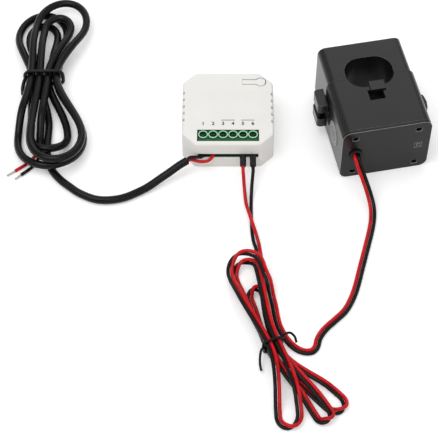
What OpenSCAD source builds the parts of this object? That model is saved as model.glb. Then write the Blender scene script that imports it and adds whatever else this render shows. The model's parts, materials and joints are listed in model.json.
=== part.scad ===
// Energy monitor: a small module with a six-way terminal strip, a bundled mains cable
// and a hinged split-core current clamp on a bundled twin lead.

/* [Module] */
// Width of the module, left to right
module_w = 47; // [46:0.5:56]
// Depth of the module, front to back
module_d = 48.4; // [46:0.1:56]
// Height of the module
module_h = 18; // [17.5:0.1:22]
// Size of the cut at each corner of the module
module_corner = 6.8; // [5:0.1:9]
// Rounding of the top edge
edge_round = 1.2; // [0.5:0.1:1.8]
// Wall thickness of the case
module_wall = 1.6; // [1.4:0.1:1.8]
// Thickness of the case floor
floor_t = 1.6; // [1.2:0.1:2]
// Thickness of the top face
top_t = 1.8; // [1.4:0.1:2]
// Height of the seam between the two case halves
split_h = 7.4; // [7:0.1:7.8]
// Thickness of the lip inside the seam
lip_t = 0.7; // [0.5:0.1:0.9]
// Clearance between lip and cover
lip_clear = 0.1; // [0.05:0.05:0.2]
// Length of one vent slot
vent_l = 1.8; // [1.2:0.1:2.6]
// Depth of a vent slot in the top face
vent_groove = 1.3; // [0.4:0.1:1.6]
// Spacing of the vent slots
vent_pitch = 4.55; // [3.6:0.05:5]
// Middle of the left row of vents, from the middle of the module
vent_left = 1.2; // [0:0.1:2]
// Middle of the right row of vents, from the middle of the module
vent_right = 0.4; // [0:0.1:2]
// Clearance around the circuit board
board_clear = 0.2; // [0.1:0.05:0.4]
// Thickness of the circuit board
board_t = 1.6; // [1:0.1:1.8]
// Height of the board above the case floor
board_up = 1.8; // [1.6:0.1:2]

/* [Terminals] */
// Spacing of the terminals
pitch = 5.08; // [5:0.01:5.2]
// Diameter of a screw well
well_d = 4.2; // [4:0.1:4.4]
// Diameter of a screw head
head_d = 3.6; // [3:0.1:3.8]
// Diameter of a screw shank
shank_d = 2.4; // [2:0.1:2.6]
// Running clearance of the shank in its cage, on the radius
shank_clear = 0.05; // [0.03:0.01:0.1]
// Width of a clamping cage
cage_w = 3.6; // [3.4:0.1:3.8]
// Depth of a clamping cage
cage_d = 4.4; // [4:0.1:4.6]
// Clearance around a cage
cage_clear = 0.3; // [0.2:0.05:0.3]
// Diameter of a ferrule sleeve
ferrule_d = 3.3; // [2.4:0.1:3.4]
// Length of a ferrule sleeve
ferrule_l = 6.3; // [5:0.1:7]

/* [Button] */
// Diameter of the button pad
button_d = 5; // [4:0.1:5.4]
// Width of the button stem
stem_w = 2.8; // [2:0.1:3]
// Width of a contact bar
bar_w = 2; // [1.6:0.1:2.2]
// Thickness of a contact bar
bar_t = 0.8; // [0.6:0.1:0.8]
// Length of a contact bar in front of its screw
bar_l = 1.9; // [1.6:0.1:2]
// Width of a contact pin
pin_w = 1; // [0.8:0.1:1]
// Thickness of a contact pin
pin_t = 0.7; // [0.5:0.1:0.7]
// Distance of a contact pin behind its screw
pin_y = 3; // [2.8:0.1:3.2]
// Thickness of the button tongue
tongue_t = 1.2; // [0.8:0.1:1.4]
// Slit around the button
button_slit = 0.5; // [0.3:0.05:0.6]
// Length from the hinge line to the middle of the pad
button_arm = 9.6; // [9:0.1:10]
// Diameter of the switch plunger
plunger_d = 2.2; // [1.6:0.1:2.6]
// Running clearance of the plunger, on the radius
plunger_clear = 0.05; // [0.03:0.01:0.1]

/* [Clamp] */
// Width of the clamp
clamp_w = 46; // [45:0.5:50]
// Height of the clamp
clamp_h = 34.5; // [34:0.5:38]
// Length from the front plate to the seam
body_l = 35.2; // [34.5:0.1:36]
// Length of the jaw
jaw_l = 22.9; // [22.5:0.1:25]
// How much narrower the jaw is on each side
jaw_inset = 1; // [0.5:0.1:1.2]
// How much lower the jaw is at top and foot
jaw_drop = 0.1; // [0.05:0.05:1]
// Gap between body and jaw
seam_gap = 0.4; // [0.3:0.05:0.6]
// Rounding of the long edges
clamp_round = 4.5; // [3:0.1:5]
// Wall thickness of the clamp
clamp_wall = 1.8; // [1.5:0.1:1.9]
// Thickness of the front plate
plate_t = 2; // [1.5:0.1:2.5]
// Width of the opening for the conductor
window_w = 25; // [22:0.5:25]
// Length of the opening for the conductor
window_l = 20; // [18:0.5:20]
// Corner radius of the opening
window_round = 9; // [6:0.5:9]
// Wall around the opening
window_wall = 1.6; // [1.2:0.1:1.8]
// Width of a core leg
leg_w = 5.4; // [4:0.1:5.4]
// Height of the core
core_h = 18; // [14:0.5:18]
// Clearance around the core
core_clear = 0.3; // [0.2:0.05:0.4]
// Gap between the two core halves
core_gap = 0.3; // [0.3:0.05:0.5]
// Diameter of the hinge pin
pin_d = 2.2; // [1.8:0.1:2.6]
// Running clearance of the hinge, on the radius
pin_clear = 0.06; // [0.04:0.01:0.1]
// Radius of the hinge knuckles
knuckle_r = 3; // [2.6:0.1:3.1]
// Diameter of the latch pin
latch_pin_d = 1.6; // [1.2:0.1:1.8]
// Diameter of the hole for the lead
lead_hole_d = 5.4; // [5:0.1:6]
// Diameter of the round label
label_d = 13; // [8:0.5:14]

// Distance of the lower core's yoke from the front plate
yoke_b = 8; // [7.5:0.1:8.5]
// Thickness of the lower core's yoke
yoke_t = 7; // [6:0.1:7]
// Wall of the bobbin
bobbin_t = 0.8; // [0.6:0.1:1]
// Thickness of a bobbin flange
flange_t = 1.2; // [0.8:0.1:1.4]
// Thickness of the winding
winding_t = 1.3; // [1:0.1:1.4]

/* [Cords] */
// How much longer than round a fold of a bundle is
fold_long = 1.25; // [1:0.05:1.4]
// Diameter of the mains cable
mains_d = 4.1; // [3.6:0.1:4.1]
// Room kept between the turns of the mains bundle
mains_room = 0.5; // [0.45:0.05:0.8]
// Diameter of a core in the mains cable
core_d = 1.7; // [1.2:0.1:1.7]
// Diameter of one wire of the twin lead
lead_d = 1.8; // [1.4:0.1:1.8]
// Diameter of the tie round the mains cable
mains_tie_d = 2; // [1.4:0.1:2.1]
// Diameter of the tie round the twin lead
lead_tie_d = 1.2; // [0.8:0.1:1.2]

/* [Hidden] */
$fn = 32;

off_white = [0.88, 0.87, 0.84];
green = [0.2, 0.55, 0.25];
charcoal = [0.14, 0.14, 0.14];
steel = [0.7, 0.7, 0.72];
brass = [0.8, 0.65, 0.3];
red = [0.75, 0.08, 0.08];
black = [0.06, 0.06, 0.06];
tin = [0.75, 0.75, 0.78];

// Case levels and edges
front = -module_d / 2;
under_top = module_h - top_t;
board_z = floor_t + board_up;
board_top = board_z + board_t;
tray_w = module_w - 2 * (module_wall + lip_clear + lip_t);
tray_d = module_d - 2 * (module_wall + lip_clear + lip_t);

// Terminal strip
term_x = [for (k = [0:5]) (k - 2.5) * pitch];
block_w = 6 * pitch + 0.12;
block_front = front + module_wall + lip_clear + lip_t + 0.2;
block_d = 8;
term_y = block_front + 4.5;
cavity_d = cage_d + 2 * cage_clear;
tower_top = module_h - 0.5;
strip_top = module_h - 1.1;
window_back = term_y + pitch / 2 + 0.2;
wire_z = board_top + 3.9;
shelf_z = board_top + 8.7;
head_z = shelf_z + 0.9;
bar_z = board_top + 4.9;

// Button line
button_x = module_w / 2 - module_corner / 2 - 3;
button_y = module_d / 2 - module_corner / 2 - 2.9;
hinge_x = button_x - button_arm;
nib_z = module_h - 3.35;

// Clamp place on the table
clamp_x = 79.5;
clamp_y = -27.1;
clamp_turn = 11.3;
window_b = body_l + 3.1;
jaw_b = body_l + seam_gap;
jaw_w = clamp_w - 2 * jaw_inset;
leg_in = window_w / 2 + window_wall + core_clear;
leg_out = leg_in + leg_w;
core_z = (clamp_h - core_h) / 2;
hinge_a = clamp_w / 2 + 3.4;
hinge_b = body_l - 3.7;
latch_a = -clamp_w / 2 - 1.6;
latch_b = jaw_b + 2.1;
latch_z = 9.5;
latch_h = 16;
rib_h = 5.6;
catch_h = 4;
catch_z = latch_z + (latch_h - catch_h) / 2;
lug_h = 4;
web_h = 3.4;
lug_z = [3.5, 3.5 + lug_h + web_h + 0.6];
rim_b = window_b - window_l / 2;
pocket_b = rim_b - 2.4;
tab_a = 1.5;
lead_a = -15.5;
lead_z = 17.5;

function clamp_pt(a, b, z) =
    [clamp_x + a * cos(clamp_turn) - b * sin(clamp_turn),
     clamp_y + a * sin(clamp_turn) + b * cos(clamp_turn), z];

// Headings are measured from +Y towards +X
function head(a) = [sin(a), cos(a)];
function side(h) = [h.y, -h.x];
function ease(t) = let (c = min(1, max(0, t))) c * c * (3 - 2 * c);

// A stretch from one point and heading to the next, with its change of height inside a window
function stretch(a, ha, za, b, hb, zb, n, win, reach) =
    let (arm = reach * norm(b - a))
    [for (k = [0:n - 1])
        let (t = k / n,
             q = pow(1 - t, 3) * a + 3 * t * pow(1 - t, 2) * (a + ha * arm)
                 + 3 * t * t * (1 - t) * (b - hb * arm) + t * t * t * b)
        [q.x, q.y, za + (zb - za) * ease((t - win[0]) / (win[1] - win[0]))]];

// A fold of the bundle: centre x, y, radius, heading, then heights at entry, tip and exit
function fold(l, n, rise) =
    let (h = head(l[3]), s = side(h))
    [for (k = [0:n - 1])
        let (f = k / n, q = [l[0], l[1]] + l[2] * (fold_long * sin(180 * f) * h - cos(180 * f) * s))
        [q.x, q.y, f < 0.5 ? l[4] + (l[5] - l[4]) * ease(f / rise)
                           : l[6] + (l[5] - l[6]) * ease((1 - f) / rise)]];
function fold_in(l) = [l[0], l[1]] - l[2] * side(head(l[3]));
function fold_out(l) = [l[0], l[1]] + l[2] * side(head(l[3]));
function way(first, k) = k % 2 == 0 ? first : -first;

// The bundled cord: from its start through waist track and fold in turn, then out along its end points
function bundle(start, lobes, tracks, ends, waist, tilt, up, down, rise, reach, nr, na) =
    let (wh = head(tilt), ws = side(wh), m = len(lobes))
    [for (k = [0:m - 1])
        let (l = lobes[k],
             d = way(start[4], k),
             p = k == 0 ? [start[0], start[1]] : fold_out(lobes[k - 1]),
             h = k == 0 ? head(start[3]) : -head(lobes[k - 1][3]),
             z = k == 0 ? start[2] : lobes[k - 1][6],
             w = waist + ws * tracks[k][0])
        each concat(stretch(p, h, z, w, wh * d, tracks[k][1], nr, up, reach),
                    stretch(w, wh * d, tracks[k][1], fold_in(l), head(l[3]), l[4], nr, down, reach),
                    fold(l, na, rise)),
     for (k = [0:len(ends) - 1])
        let (l = lobes[m - 1],
             e = ends[k],
             p = k == 0 ? fold_out(l) : [ends[k - 1][0], ends[k - 1][1]],
             h = k == 0 ? -head(l[3]) : head(ends[k - 1][3]),
             z = k == 0 ? l[6] : ends[k - 1][2])
        each stretch(p, h, z, [e[0], e[1]], head(e[3]), e[2], nr, [e[4], e[5]], reach),
     [ends[len(ends) - 1][0], ends[len(ends) - 1][1], ends[len(ends) - 1][2]]];

// The turn of the twin lead about its own line: flat on the stretches, on edge at each fold
function bundle_turn(first, m, ends, nr, na) =
    [for (k = [0:m - 1])
        let (up = way(first, k) > 0)
        each concat([for (i = [1:2 * nr]) up ? 0 : 180],
                    [for (i = [0:na - 1]) up ? 180 * ease(i / na) : 180 * (1 - ease(i / na))]),
     for (i = [0:ends * nr]) way(first, m) > 0 ? 0 : 180];

function flat_dir(p, i) =
    let (n = len(p), d = p[min(n - 1, i + 1)] - p[max(0, i - 1)]) [d.x, d.y] / norm([d.x, d.y]);
// Points of one wire beside the middle line of the twin lead
function beside(p, turn, off) =
    [for (i = [0:len(p) - 1])
        let (s = side(flat_dir(p, i)), a = is_list(turn) ? turn[i] : turn)
        p[i] + off * [s.x * cos(a), s.y * cos(a), sin(a)]];

// Tie round a bundle: one turn of cord in an upright plane, its two ends side by side
function tie_loop(half_w, z0, z1, r, d) =
    let (mid = (z0 + z1) / 2, up = (z1 - z0) / 2 - r, side_x = [-1, 1, 1, -1], side_z = [1, 1, -1, -1])
    [[-half_w, -0.575 * d, mid],
     for (c = [0:3], k = [0:3])
        let (a = 180 - 90 * c - 30 * k)
        [side_x[c] * (half_w - r) + r * cos(a), d * 1.15 * ((4 * c + k + 1) / 17 - 0.5),
         mid + side_z[c] * up + r * sin(a)],
     [-half_w, 0.575 * d, mid]];
// Tie of one and a half turns, from the right side of a bundle to its left side
function tie_coil(half_w, z0, z1, r, d) =
    let (mid = (z0 + z1) / 2, up = (z1 - z0) / 2 - r, side_x = [-1, 1, 1, -1], side_z = [1, 1, -1, -1],
         order = [2, 3, 0, 1, 2, 3])
    [[half_w, 0.8625 * d, mid + 1.2],
     for (j = [0:5], k = [0:3])
        let (c = order[j], a = 180 - 90 * c - 30 * k)
        [side_x[c] * (half_w - r) + r * cos(a), 1.725 * d * (0.5 - (4 * j + k + 1) / 25),
         mid + side_z[c] * up + r * sin(a)],
     [-half_w, -0.8625 * d, mid]];

// Mains cable bundle
mr = mains_d / 2;
ml = mr + 4.6;
mains_lift = 2.4;
in_track = 2.2;
out_track = 6.6;
mains_start = [-93.6, 0, mr, 0, 1];
mains_lobes = [[-100.5, 63, 7.6, 2, mr, mr, mr],
               [-92.95, -6.2, 9.5, 180, mr, mr + 5, mr + 2],
               [-101, 64.2, 13, 5, mr, mr, mr],
               [-92.2, -7.8, 17, 180, mr, mr + 5, mr],
               [-90.6, 69.3, 13.2, 12, ml, ml, ml],
               [-88.6, -11.8, 13.4, 178, ml + 3.4, ml + 5.2, ml + 3.4],
               [-92.5, 65.7, 7, 6, ml, ml, ml]];
mains_tracks = [[-in_track, mr + mains_lift], [in_track, mr + mains_lift],
                [-out_track, mr + mains_lift], [out_track, mr + mains_lift],
                [-out_track, ml + mains_lift], [out_track, ml + mains_lift],
                [-in_track, ml + mains_lift]];
mains_waist = [-97.7, 31];
mains_ends = [[mains_waist.x + in_track, mains_waist.y, ml + mains_lift, 180, 0, 0.45],
              [-97.75, -12.5, 2.45, 180, 0.6, 0.92]];
function mains_line(nr, na) = bundle(mains_start, mains_lobes, mains_tracks, mains_ends, mains_waist, 0,
                                     [0, 0.45], [0.55, 1], 0.45, 0.3, nr, na);

// Mains cable from the module to its bundle
mains_run = [[-20.8, -26.9, 8.4], [-25, -29.3, 7.3], [-30, -32.5, 5.6], [-35, -35.6, 4], [-39.8, -38.9, 2.8],
             [-44.7, -41.7, mr], [-52.1, -45.6, mr], [-59.6, -47.3, mr], [-67.2, -46.8, mr],
             [-75, -43.2, mr], [-80.3, -39.1, mr], [-85.7, -34.2, mr], [-90, -28.4, mr],
             [-92.6, -21.6, mr], [-93.6, -14, mr], [-93.6, -5, mr], [-93.6, 0, mr]];
core_black = [[term_x[0], term_y - 2.6, wire_z], [term_x[0], front + 1.1, wire_z], [-13.3, -25, 9.1],
              [-15.6, -25.7, 9.6], [-19.1, -25.9, 9.75], [-20.8, -26.9, 9.3]];
core_red = [[term_x[1], term_y - 2.6, wire_z], [term_x[1], front + 1.1, wire_z], [-8.3, -25.3, 8.6],
            [-10.6, -26.9, 8], [-14.5, -26.9, 7.6], [-19.1, -25.9, 7.95], [-20.8, -26.9, 7.5]];
tail_red = [[-97.75, -12.5, 3.33], [-97.8, -14, 3.3], [-98, -15.6, 3.1], [-98.9, -17.8, 2.4],
            [-100.2, -19.5, 1.6], [-102, -21.5, 1], [-104.4, -23.9, 0.9], [-109.3, -27.8, 0.9]];
tail_black = [[-97.75, -12.5, 1.57], [-97.7, -14, 1.3], [-97.6, -15.5, 1], [-97.6, -18, 0.9],
              [-98.4, -21.3, 0.9], [-99.6, -23.8, 0.9], [-101.5, -26.2, 0.9], [-106, -30.4, 0.9]];
tip_l = 5;

// Twin lead bundle
lr = 0.95;
layer = 2.4;
lead_lift = 1.6;
lead_track = 2.1;
function level(k) = lr + layer * k;
lead_start = [14.8, -78, level(0), 172, -1];
lead_lobes = [[48.3, -163.2, 4.6, 137, level(0), 1.95, level(0)],
              [13.4, -106, 3, -16, level(0), level(1) + 1, level(1) + 1.4],
              [43.2, -170.3, 3.3, 149, level(1), level(1) + 0.7, level(0) + 0.3],
              [8.7, -93.4, 5.5, -12, level(0), level(1) + 0.8, level(2) + 1.5],
              [27.4, -170.6, 4.9, 176, level(0) + 2.2, 1.95, level(0)],
              [8.6, -92.8, 7.8, -12, level(1), level(2) + 1.3, level(3) + 0.9]];
lead_tracks = [for (k = [0:5]) [k % 2 == 0 ? lead_track : -lead_track, level(floor(k / 2)) + lead_lift]];
lead_waist = [20.6, -134.3];
lead_tilt = -22;
lead_ends = [[21.2, -106.5, level(0) + 0.5, 166, 0.55, 1], [24.6, -123.5, level(0), 158, 0, 1],
             [37, -136.3, level(0), 92, 0, 1]];
function lead_line(nr, na) = bundle(lead_start, lead_lobes, lead_tracks, lead_ends, lead_waist, lead_tilt,
                                    [0, 0.35], [0.72, 1], 0.5, 0.34, nr, na);
function lead_turn(nr, na) = bundle_turn(lead_start[4], len(lead_lobes), len(lead_ends), nr, na);
function red_line(nr, na) = beside(lead_line(nr, na), lead_turn(nr, na), lr);
function black_line(nr, na) = beside(lead_line(nr, na), lead_turn(nr, na), -lr);

// Twin lead from the module to its bundle, each wire by itself
lead_in = [lead_start[0], lead_start[1]] - 2 * head(lead_start[3]);
lead_red_pts = [[term_x[4], front - 0.7 - ferrule_l, wire_z], [term_x[4], -33.7, 8.6], [7.9, -36.5, 6.8],
                [8.2, -40.5, 4], [8.7, -45.5, 1.6], [9.2, -50, 1.6], [10.2, -55, 2.9], [11.4, -60, 3.2],
                [12.9, -65.5, 2.9], [14.1, -70, 2.4], [15.1, -73.5, 1.2],
                [lead_in.x + lr, lead_in.y + 0.13, lr],
                [lead_start[0] + 0.94, lead_start[1] + 0.13, lr]];
lead_black_pts = [[term_x[5], front - 0.7 - ferrule_l, wire_z], [term_x[5], -33.7, 8.6], [12.4, -36.5, 6.8],
                  [12, -40.5, 4], [11.7, -45.5, 1.4], [11.6, -50, lr], [11.6, -56, lr], [11.7, -62, lr],
                  [11.9, -67, lr], [12.5, -72, lr], [lead_in.x - lr, lead_in.y - 0.13, lr],
                  [lead_start[0] - 0.94, lead_start[1] - 0.13, lr]];
// Twin lead from its bundle to the clamp, middle line
lead_out = [[37, -136.3, lr], [39.4, -135.8, lr], [41.4, -133.4, lr], [42.8, -128.5, lr], [45.9, -123.6, lr],
            [50.8, -118.6, lr], [55.6, -113.6, lr], [59, -107.6, lr], [61.9, -100, lr], [65, -88.5, lr],
            [68.2, -76.5, lr], [71.4, -64, lr], [72.6, -55.5, 1.4], [72, -49, 3.4], [69.6, -42.4, 8],
            [66.8, -37.4, 13.4], [65.4, -34.2, 16.6], clamp_pt(lead_a, -1.6, lead_z),
            clamp_pt(lead_a, plate_t + 1.4, lead_z)];

// Least gap of a cord to itself, between points that lie apart along it
function own_gap(p, d) =
    let (n = len(p), at = [for (i = 0, s = 0; i < n; i = i + 1, s = i < n ? s + norm(p[i] - p[i - 1]) : s) s])
    min([for (i = [0:n - 2], j = [i + 1:n - 1]) if (at[j] - at[i] > 4.4 * d) norm(p[i] - p[j])]) - d;
echo(mains_bundle_gap = own_gap(mains_line(8, 12), mains_d - mains_room));
echo(lead_bundle_gap = min(own_gap(red_line(8, 12), lead_d), own_gap(black_line(8, 12), lead_d)));

// Plan or section with round corners
module rounded(w, d, r) {
    square([w - 2 * r, d], center = true);
    square([w, d - 2 * r], center = true);
    for (x = [-1, 1]) {
        for (y = [-1, 1]) {
            translate([x * (w / 2 - r), y * (d / 2 - r)]) circle(r);
        }
    }
}

module box(x0, x1, y0, y1, z0, z1) {
    translate([x0, y0, z0]) cube([x1 - x0, y1 - y0, z1 - z0]);
}

// Plan of the module: its corners are cut off, with eased ends
function cut_plan(w, d, c) =
    let (q = 0.4 * c, t = q * tan(22.5),
         p = [for (a = [0:15:45]) [w / 2 - q + q * cos(a), d / 2 - c - t + q * sin(a)],
              for (a = [45:15:90]) [w / 2 - c - t + q * cos(a), d / 2 - q + q * sin(a)]],
         n = len(p) - 1)
    concat(p, [for (i = [n:-1:0]) [-p[i].x, p[i].y]], [for (v = p) -v],
           [for (i = [n:-1:0]) [p[i].x, -p[i].y]]);

module slab(w, d, c, z0, z1) {
    translate([0, 0, z0]) linear_extrude(z1 - z0) polygon(cut_plan(w, d, c));
}

// Bar with round long edges, lying along the clamp
module lying(w, h, r, b0, b1, z0) {
    translate([0, b1, z0 + h / 2]) rotate([90, 0, 0]) linear_extrude(b1 - b0) rounded(w, h, r);
}

module at_clamp() {
    translate([clamp_x, clamp_y, 0]) rotate([0, 0, clamp_turn]) children();
}

// Round cord along points, its rings squared to a direction that the cord never takes
module cord(p, r, sides, square_to = [0, 0, 1]) {
    n = len(p);
    rings = [for (i = [0:n - 1])
        let (d = i == 0 ? p[1] - p[0] : i == n - 1 ? p[n - 1] - p[n - 2]
                 : (p[i + 1] - p[i]) / norm(p[i + 1] - p[i]) + (p[i] - p[i - 1]) / norm(p[i] - p[i - 1]),
             t = d / norm(d),
             s = cross(t, square_to) / norm(cross(t, square_to)),
             u = cross(s, t))
        each [for (k = [0:sides - 1]) p[i] + r * (cos(360 * k / sides) * s + sin(360 * k / sides) * u)]];
    skin = [for (i = [0:n - 2], k = [0:sides - 1])
        let (a = i * sides + k, b = i * sides + (k + 1) % sides)
        each [[a, b, a + sides], [b, b + sides, a + sides]]];
    caps = [for (k = [1:sides - 2])
        each [[0, k + 1, k], [(n - 1) * sides, (n - 1) * sides + k, (n - 1) * sides + k + 1]]];
    polyhedron(points = rings, faces = concat(skin, caps));
}

// Round cord whose rings are carried along it without a twist
module carried_cord(p, r, sides) {
    n = len(p);
    dirs = [for (i = [0:n - 1])
        let (d = i == 0 ? p[1] - p[0] : i == n - 1 ? p[n - 1] - p[n - 2]
                 : (p[i + 1] - p[i]) / norm(p[i + 1] - p[i]) + (p[i] - p[i - 1]) / norm(p[i] - p[i - 1]))
        d / norm(d)];
    first = cross(dirs[0], [0, 0, 1]) / norm(cross(dirs[0], [0, 0, 1]));
    sides_of = [for (i = 0, s = first; i < n; i = i + 1,
                     v = i < n ? s - (s * dirs[i]) * dirs[i] : s, s = v / norm(v)) s];
    rings = [for (i = [0:n - 1])
        let (s = sides_of[i], u = cross(s, dirs[i]))
        each [for (k = [0:sides - 1]) p[i] + r * (cos(360 * k / sides) * s + sin(360 * k / sides) * u)]];
    skin = [for (i = [0:n - 2], k = [0:sides - 1])
        let (a = i * sides + k, b = i * sides + (k + 1) % sides)
        each [[a, b, a + sides], [b, b + sides, a + sides]]];
    caps = [for (k = [1:sides - 2])
        each [[0, k + 1, k], [(n - 1) * sides, (n - 1) * sides + k, (n - 1) * sides + k + 1]]];
    polyhedron(points = rings, faces = concat(skin, caps));
}

module top_cover() {
    in_w = module_w - 2 * module_wall;
    in_d = module_d - 2 * module_wall;
    color(off_white) difference() {
        hull() {
            slab(module_w, module_d, module_corner, split_h, module_h - edge_round);
            for (a = [30, 60, 90]) {
                slab(module_w - 2 * edge_round * (1 - cos(a)), module_d - 2 * edge_round * (1 - cos(a)),
                     module_corner - edge_round * (1 - cos(a)),
                     module_h - edge_round, module_h - edge_round * (1 - sin(a)));
            }
        }
        slab(in_w, in_d, module_corner - module_wall, split_h - 1, under_top);
        box(-block_w / 2 - 0.45, block_w / 2 + 0.45, block_front - 0.35, window_back,
            under_top - 1, module_h + 1);
        box(-15.5, 15.5, front - 1, front + module_wall + 1, split_h - 1, split_h + 3);
        translate([button_x, button_y, under_top - 1])
            cylinder(d = button_d + 2 * button_slit, h = top_t + 2);
        box(hinge_x - 0.05, button_x, button_y - stem_w / 2 - button_slit,
            button_y + stem_w / 2 + button_slit, under_top - 1, module_h + 1);
        for (k = [-2:2]) {
            left = vent_left + k * vent_pitch - vent_l / 2;
            right = vent_right + k * vent_pitch - vent_l / 2;
            box(-module_w / 2 - 1, -module_w / 2 + module_wall + 1, left, left + vent_l,
                split_h + 1.2, under_top - 0.3);
            box(-module_w / 2 - 1, -module_w / 2 + vent_groove, left, left + vent_l,
                split_h + 1.2, module_h + 1);
            box(module_w / 2 - module_wall - 1, module_w / 2 + 1, right, right + vent_l,
                split_h + 1.2, under_top - 0.3);
            box(module_w / 2 - vent_groove, module_w / 2 + 1, right, right + vent_l,
                split_h + 1.2, module_h + 1);
        }
    }
}

module bottom_case() {
    lip_w = module_w - 2 * (module_wall + lip_clear);
    lip_d = module_d - 2 * (module_wall + lip_clear);
    lip_r = module_corner - module_wall - lip_clear;
    color(off_white) {
        difference() {
            union() {
                slab(module_w, module_d, module_corner, 0, split_h);
                slab(lip_w, lip_d, lip_r, split_h - 1, split_h + 1);
            }
            slab(tray_w, tray_d, lip_r - lip_t, floor_t, split_h + 2);
            box(-15.5, 15.5, front - 1, front + 4, split_h, split_h + 2);
            box(-15.5, 15.5, front + 0.6, front + 4, split_h - 2.4, split_h + 2);
        }
        for (x = [-17, 17]) {
            for (y = [-8, 15]) {
                translate([x, y, floor_t]) cylinder(d = 4.4, h = board_up);
            }
        }
    }
}

module button_tongue() {
    color(off_white) {
        translate([button_x, button_y, module_h - tongue_t]) cylinder(d = button_d, h = tongue_t);
        box(hinge_x, button_x, button_y - stem_w / 2, button_y + stem_w / 2, module_h - tongue_t, module_h);
        translate([button_x, button_y, nib_z]) cylinder(d = 2.4, h = module_h - tongue_t - nib_z);
    }
}

module main_board() {
    color([0.1, 0.35, 0.2]) difference() {
        slab(tray_w - 2 * board_clear, tray_d - 2 * board_clear,
             module_corner - module_wall - lip_clear - lip_t - board_clear, board_z, board_top);
        for (x = term_x) {
            translate([x, term_y + pin_y, board_z - 1]) cylinder(d = 1.5, h = board_t + 2);
        }
    }
}

module terminal_block() {
    back = block_front + block_d;
    color(green) difference() {
        union() {
            box(-block_w / 2, block_w / 2, block_front, term_y - 1.5, board_top, strip_top);
            box(-block_w / 2, block_w / 2, term_y - 2.5, back, board_top, under_top - 0.4);
            for (x = term_x) {
                translate([x, term_y, board_top + 1])
                    cylinder(d = pitch - 0.08, h = tower_top - board_top - 1);
            }
        }
        for (x = term_x) {
            translate([x, term_y, shelf_z + 0.6]) cylinder(d = well_d, h = 10);
            translate([x, term_y, shelf_z - 1]) cylinder(d = shank_d + 0.4, h = 3);
            box(x - cage_w / 2 - cage_clear, x + cage_w / 2 + cage_clear, term_y - cavity_d / 2,
                term_y + cavity_d / 2, board_top - 1, shelf_z);
            box(x - 1.7, x + 1.7, block_front - 1, term_y, wire_z - 1.5, wire_z + 1.5);
            box(x - 1.1, x + 1.1, term_y, back + 1, bar_z - 0.1, bar_z + 0.9);
            box(x - 0.6, x + 0.6, term_y + 2, back + 1, board_top - 1, bar_z + 0.9);
        }
    }
}

module contact_bars() {
    color(brass) {
        for (x = term_x) {
            box(x - bar_w / 2, x + bar_w / 2, term_y - bar_l, term_y + pin_y + pin_t / 2,
                bar_z, bar_z + bar_t);
            box(x - pin_w / 2, x + pin_w / 2, term_y + pin_y - pin_t / 2, term_y + pin_y + pin_t / 2,
                board_z - pin_w, bar_z + bar_t / 8);
        }
    }
}

module terminal_screw(k) {
    color(steel) translate([term_x[k], term_y, 0]) difference() {
        union() {
            translate([0, 0, head_z]) cylinder(d = head_d, h = 1.6);
            translate([0, 0, bar_z + 0.9]) cylinder(d = shank_d, h = head_z - bar_z);
        }
        box(-head_d, head_d, -0.4, 0.4, head_z + 0.7, head_z + 2);
    }
}

module terminal_cage(k) {
    color(brass) translate([term_x[k], term_y, board_top]) difference() {
        box(-cage_w / 2, cage_w / 2, -cage_d / 2, cage_d / 2, 2, 8.6);
        box(-1.2, 1.2, -cage_d, cage_d, 2.8, 7.4);
        translate([0, 0, 7]) cylinder(r = shank_d / 2 + shank_clear, h = 3);
    }
}

module switch_body() {
    color(black) difference() {
        translate([button_x, button_y, 0]) slab(4.5, 4.5, 1.7, board_top, board_top + 3.8);
        translate([button_x, button_y, board_top + 2.4]) cylinder(r = plunger_d / 2 + plunger_clear, h = 3);
    }
}

module switch_plunger() {
    color([0.3, 0.3, 0.3]) translate([button_x, button_y, board_top + 2.9])
        cylinder(d = plunger_d, h = nib_z - 0.15 - board_top - 2.9);
}

module radio_module() {
    color(steel) {
        box(-19.5, -4, -1.5, 19, board_top, board_top + 0.8);
        box(-18.5, -5, 0, 13, board_top + 0.8, board_top + 3.2);
    }
}

module power_transformer() {
    color([0.75, 0.65, 0.2]) {
        box(0, 12, -2, 10, board_top, board_top + 2);
        box(1, 11, -1, 9, board_top + 2, board_top + 9);
    }
}

module bulk_capacitor() {
    color([0.1, 0.12, 0.3]) translate([16, 5.5, board_top]) cylinder(d = 7.6, h = 9.5);
}

module film_capacitor() {
    color([0.8, 0.7, 0.25]) box(-18.5, -7, -10, -4.5, board_top, board_top + 9.5);
}

module varistor() {
    color([0.1, 0.3, 0.6]) {
        translate([-1, -5.5, board_top + 4.5]) rotate([90, 0, 0]) cylinder(d = 7, h = 3);
        box(-3.6, -2.8, -7.4, -6.6, board_top, board_top + 4);
        box(0.8, 1.6, -7.4, -6.6, board_top, board_top + 4);
    }
}

module fuse() {
    color([0.85, 0.8, 0.7]) {
        translate([5, -8, board_top + 2.4]) rotate([0, 90, 0]) cylinder(d = 3.5, h = 9);
        box(5, 6, -8.5, -7.5, board_top, board_top + 2);
        box(13, 14, -8.5, -7.5, board_top, board_top + 2);
    }
}

module metering_chip() {
    color(black) box(14.5, 19.5, -4.5, 0.5, board_top, board_top + 1.5);
}

module window_cut(grow, z0, z1) {
    translate([0, window_b, z0]) linear_extrude(z1 - z0)
        rounded(window_w + 2 * grow, window_l + 2 * grow, window_round + grow);
}

module leg_cuts(b0, b1) {
    for (s = [-1, 1]) {
        box(min(s * (leg_in - 0.15), s * (leg_out + 0.15)), max(s * (leg_in - 0.15), s * (leg_out + 0.15)),
            b0, b1, core_z - 0.15, core_z + core_h + 0.15);
    }
}

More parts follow.
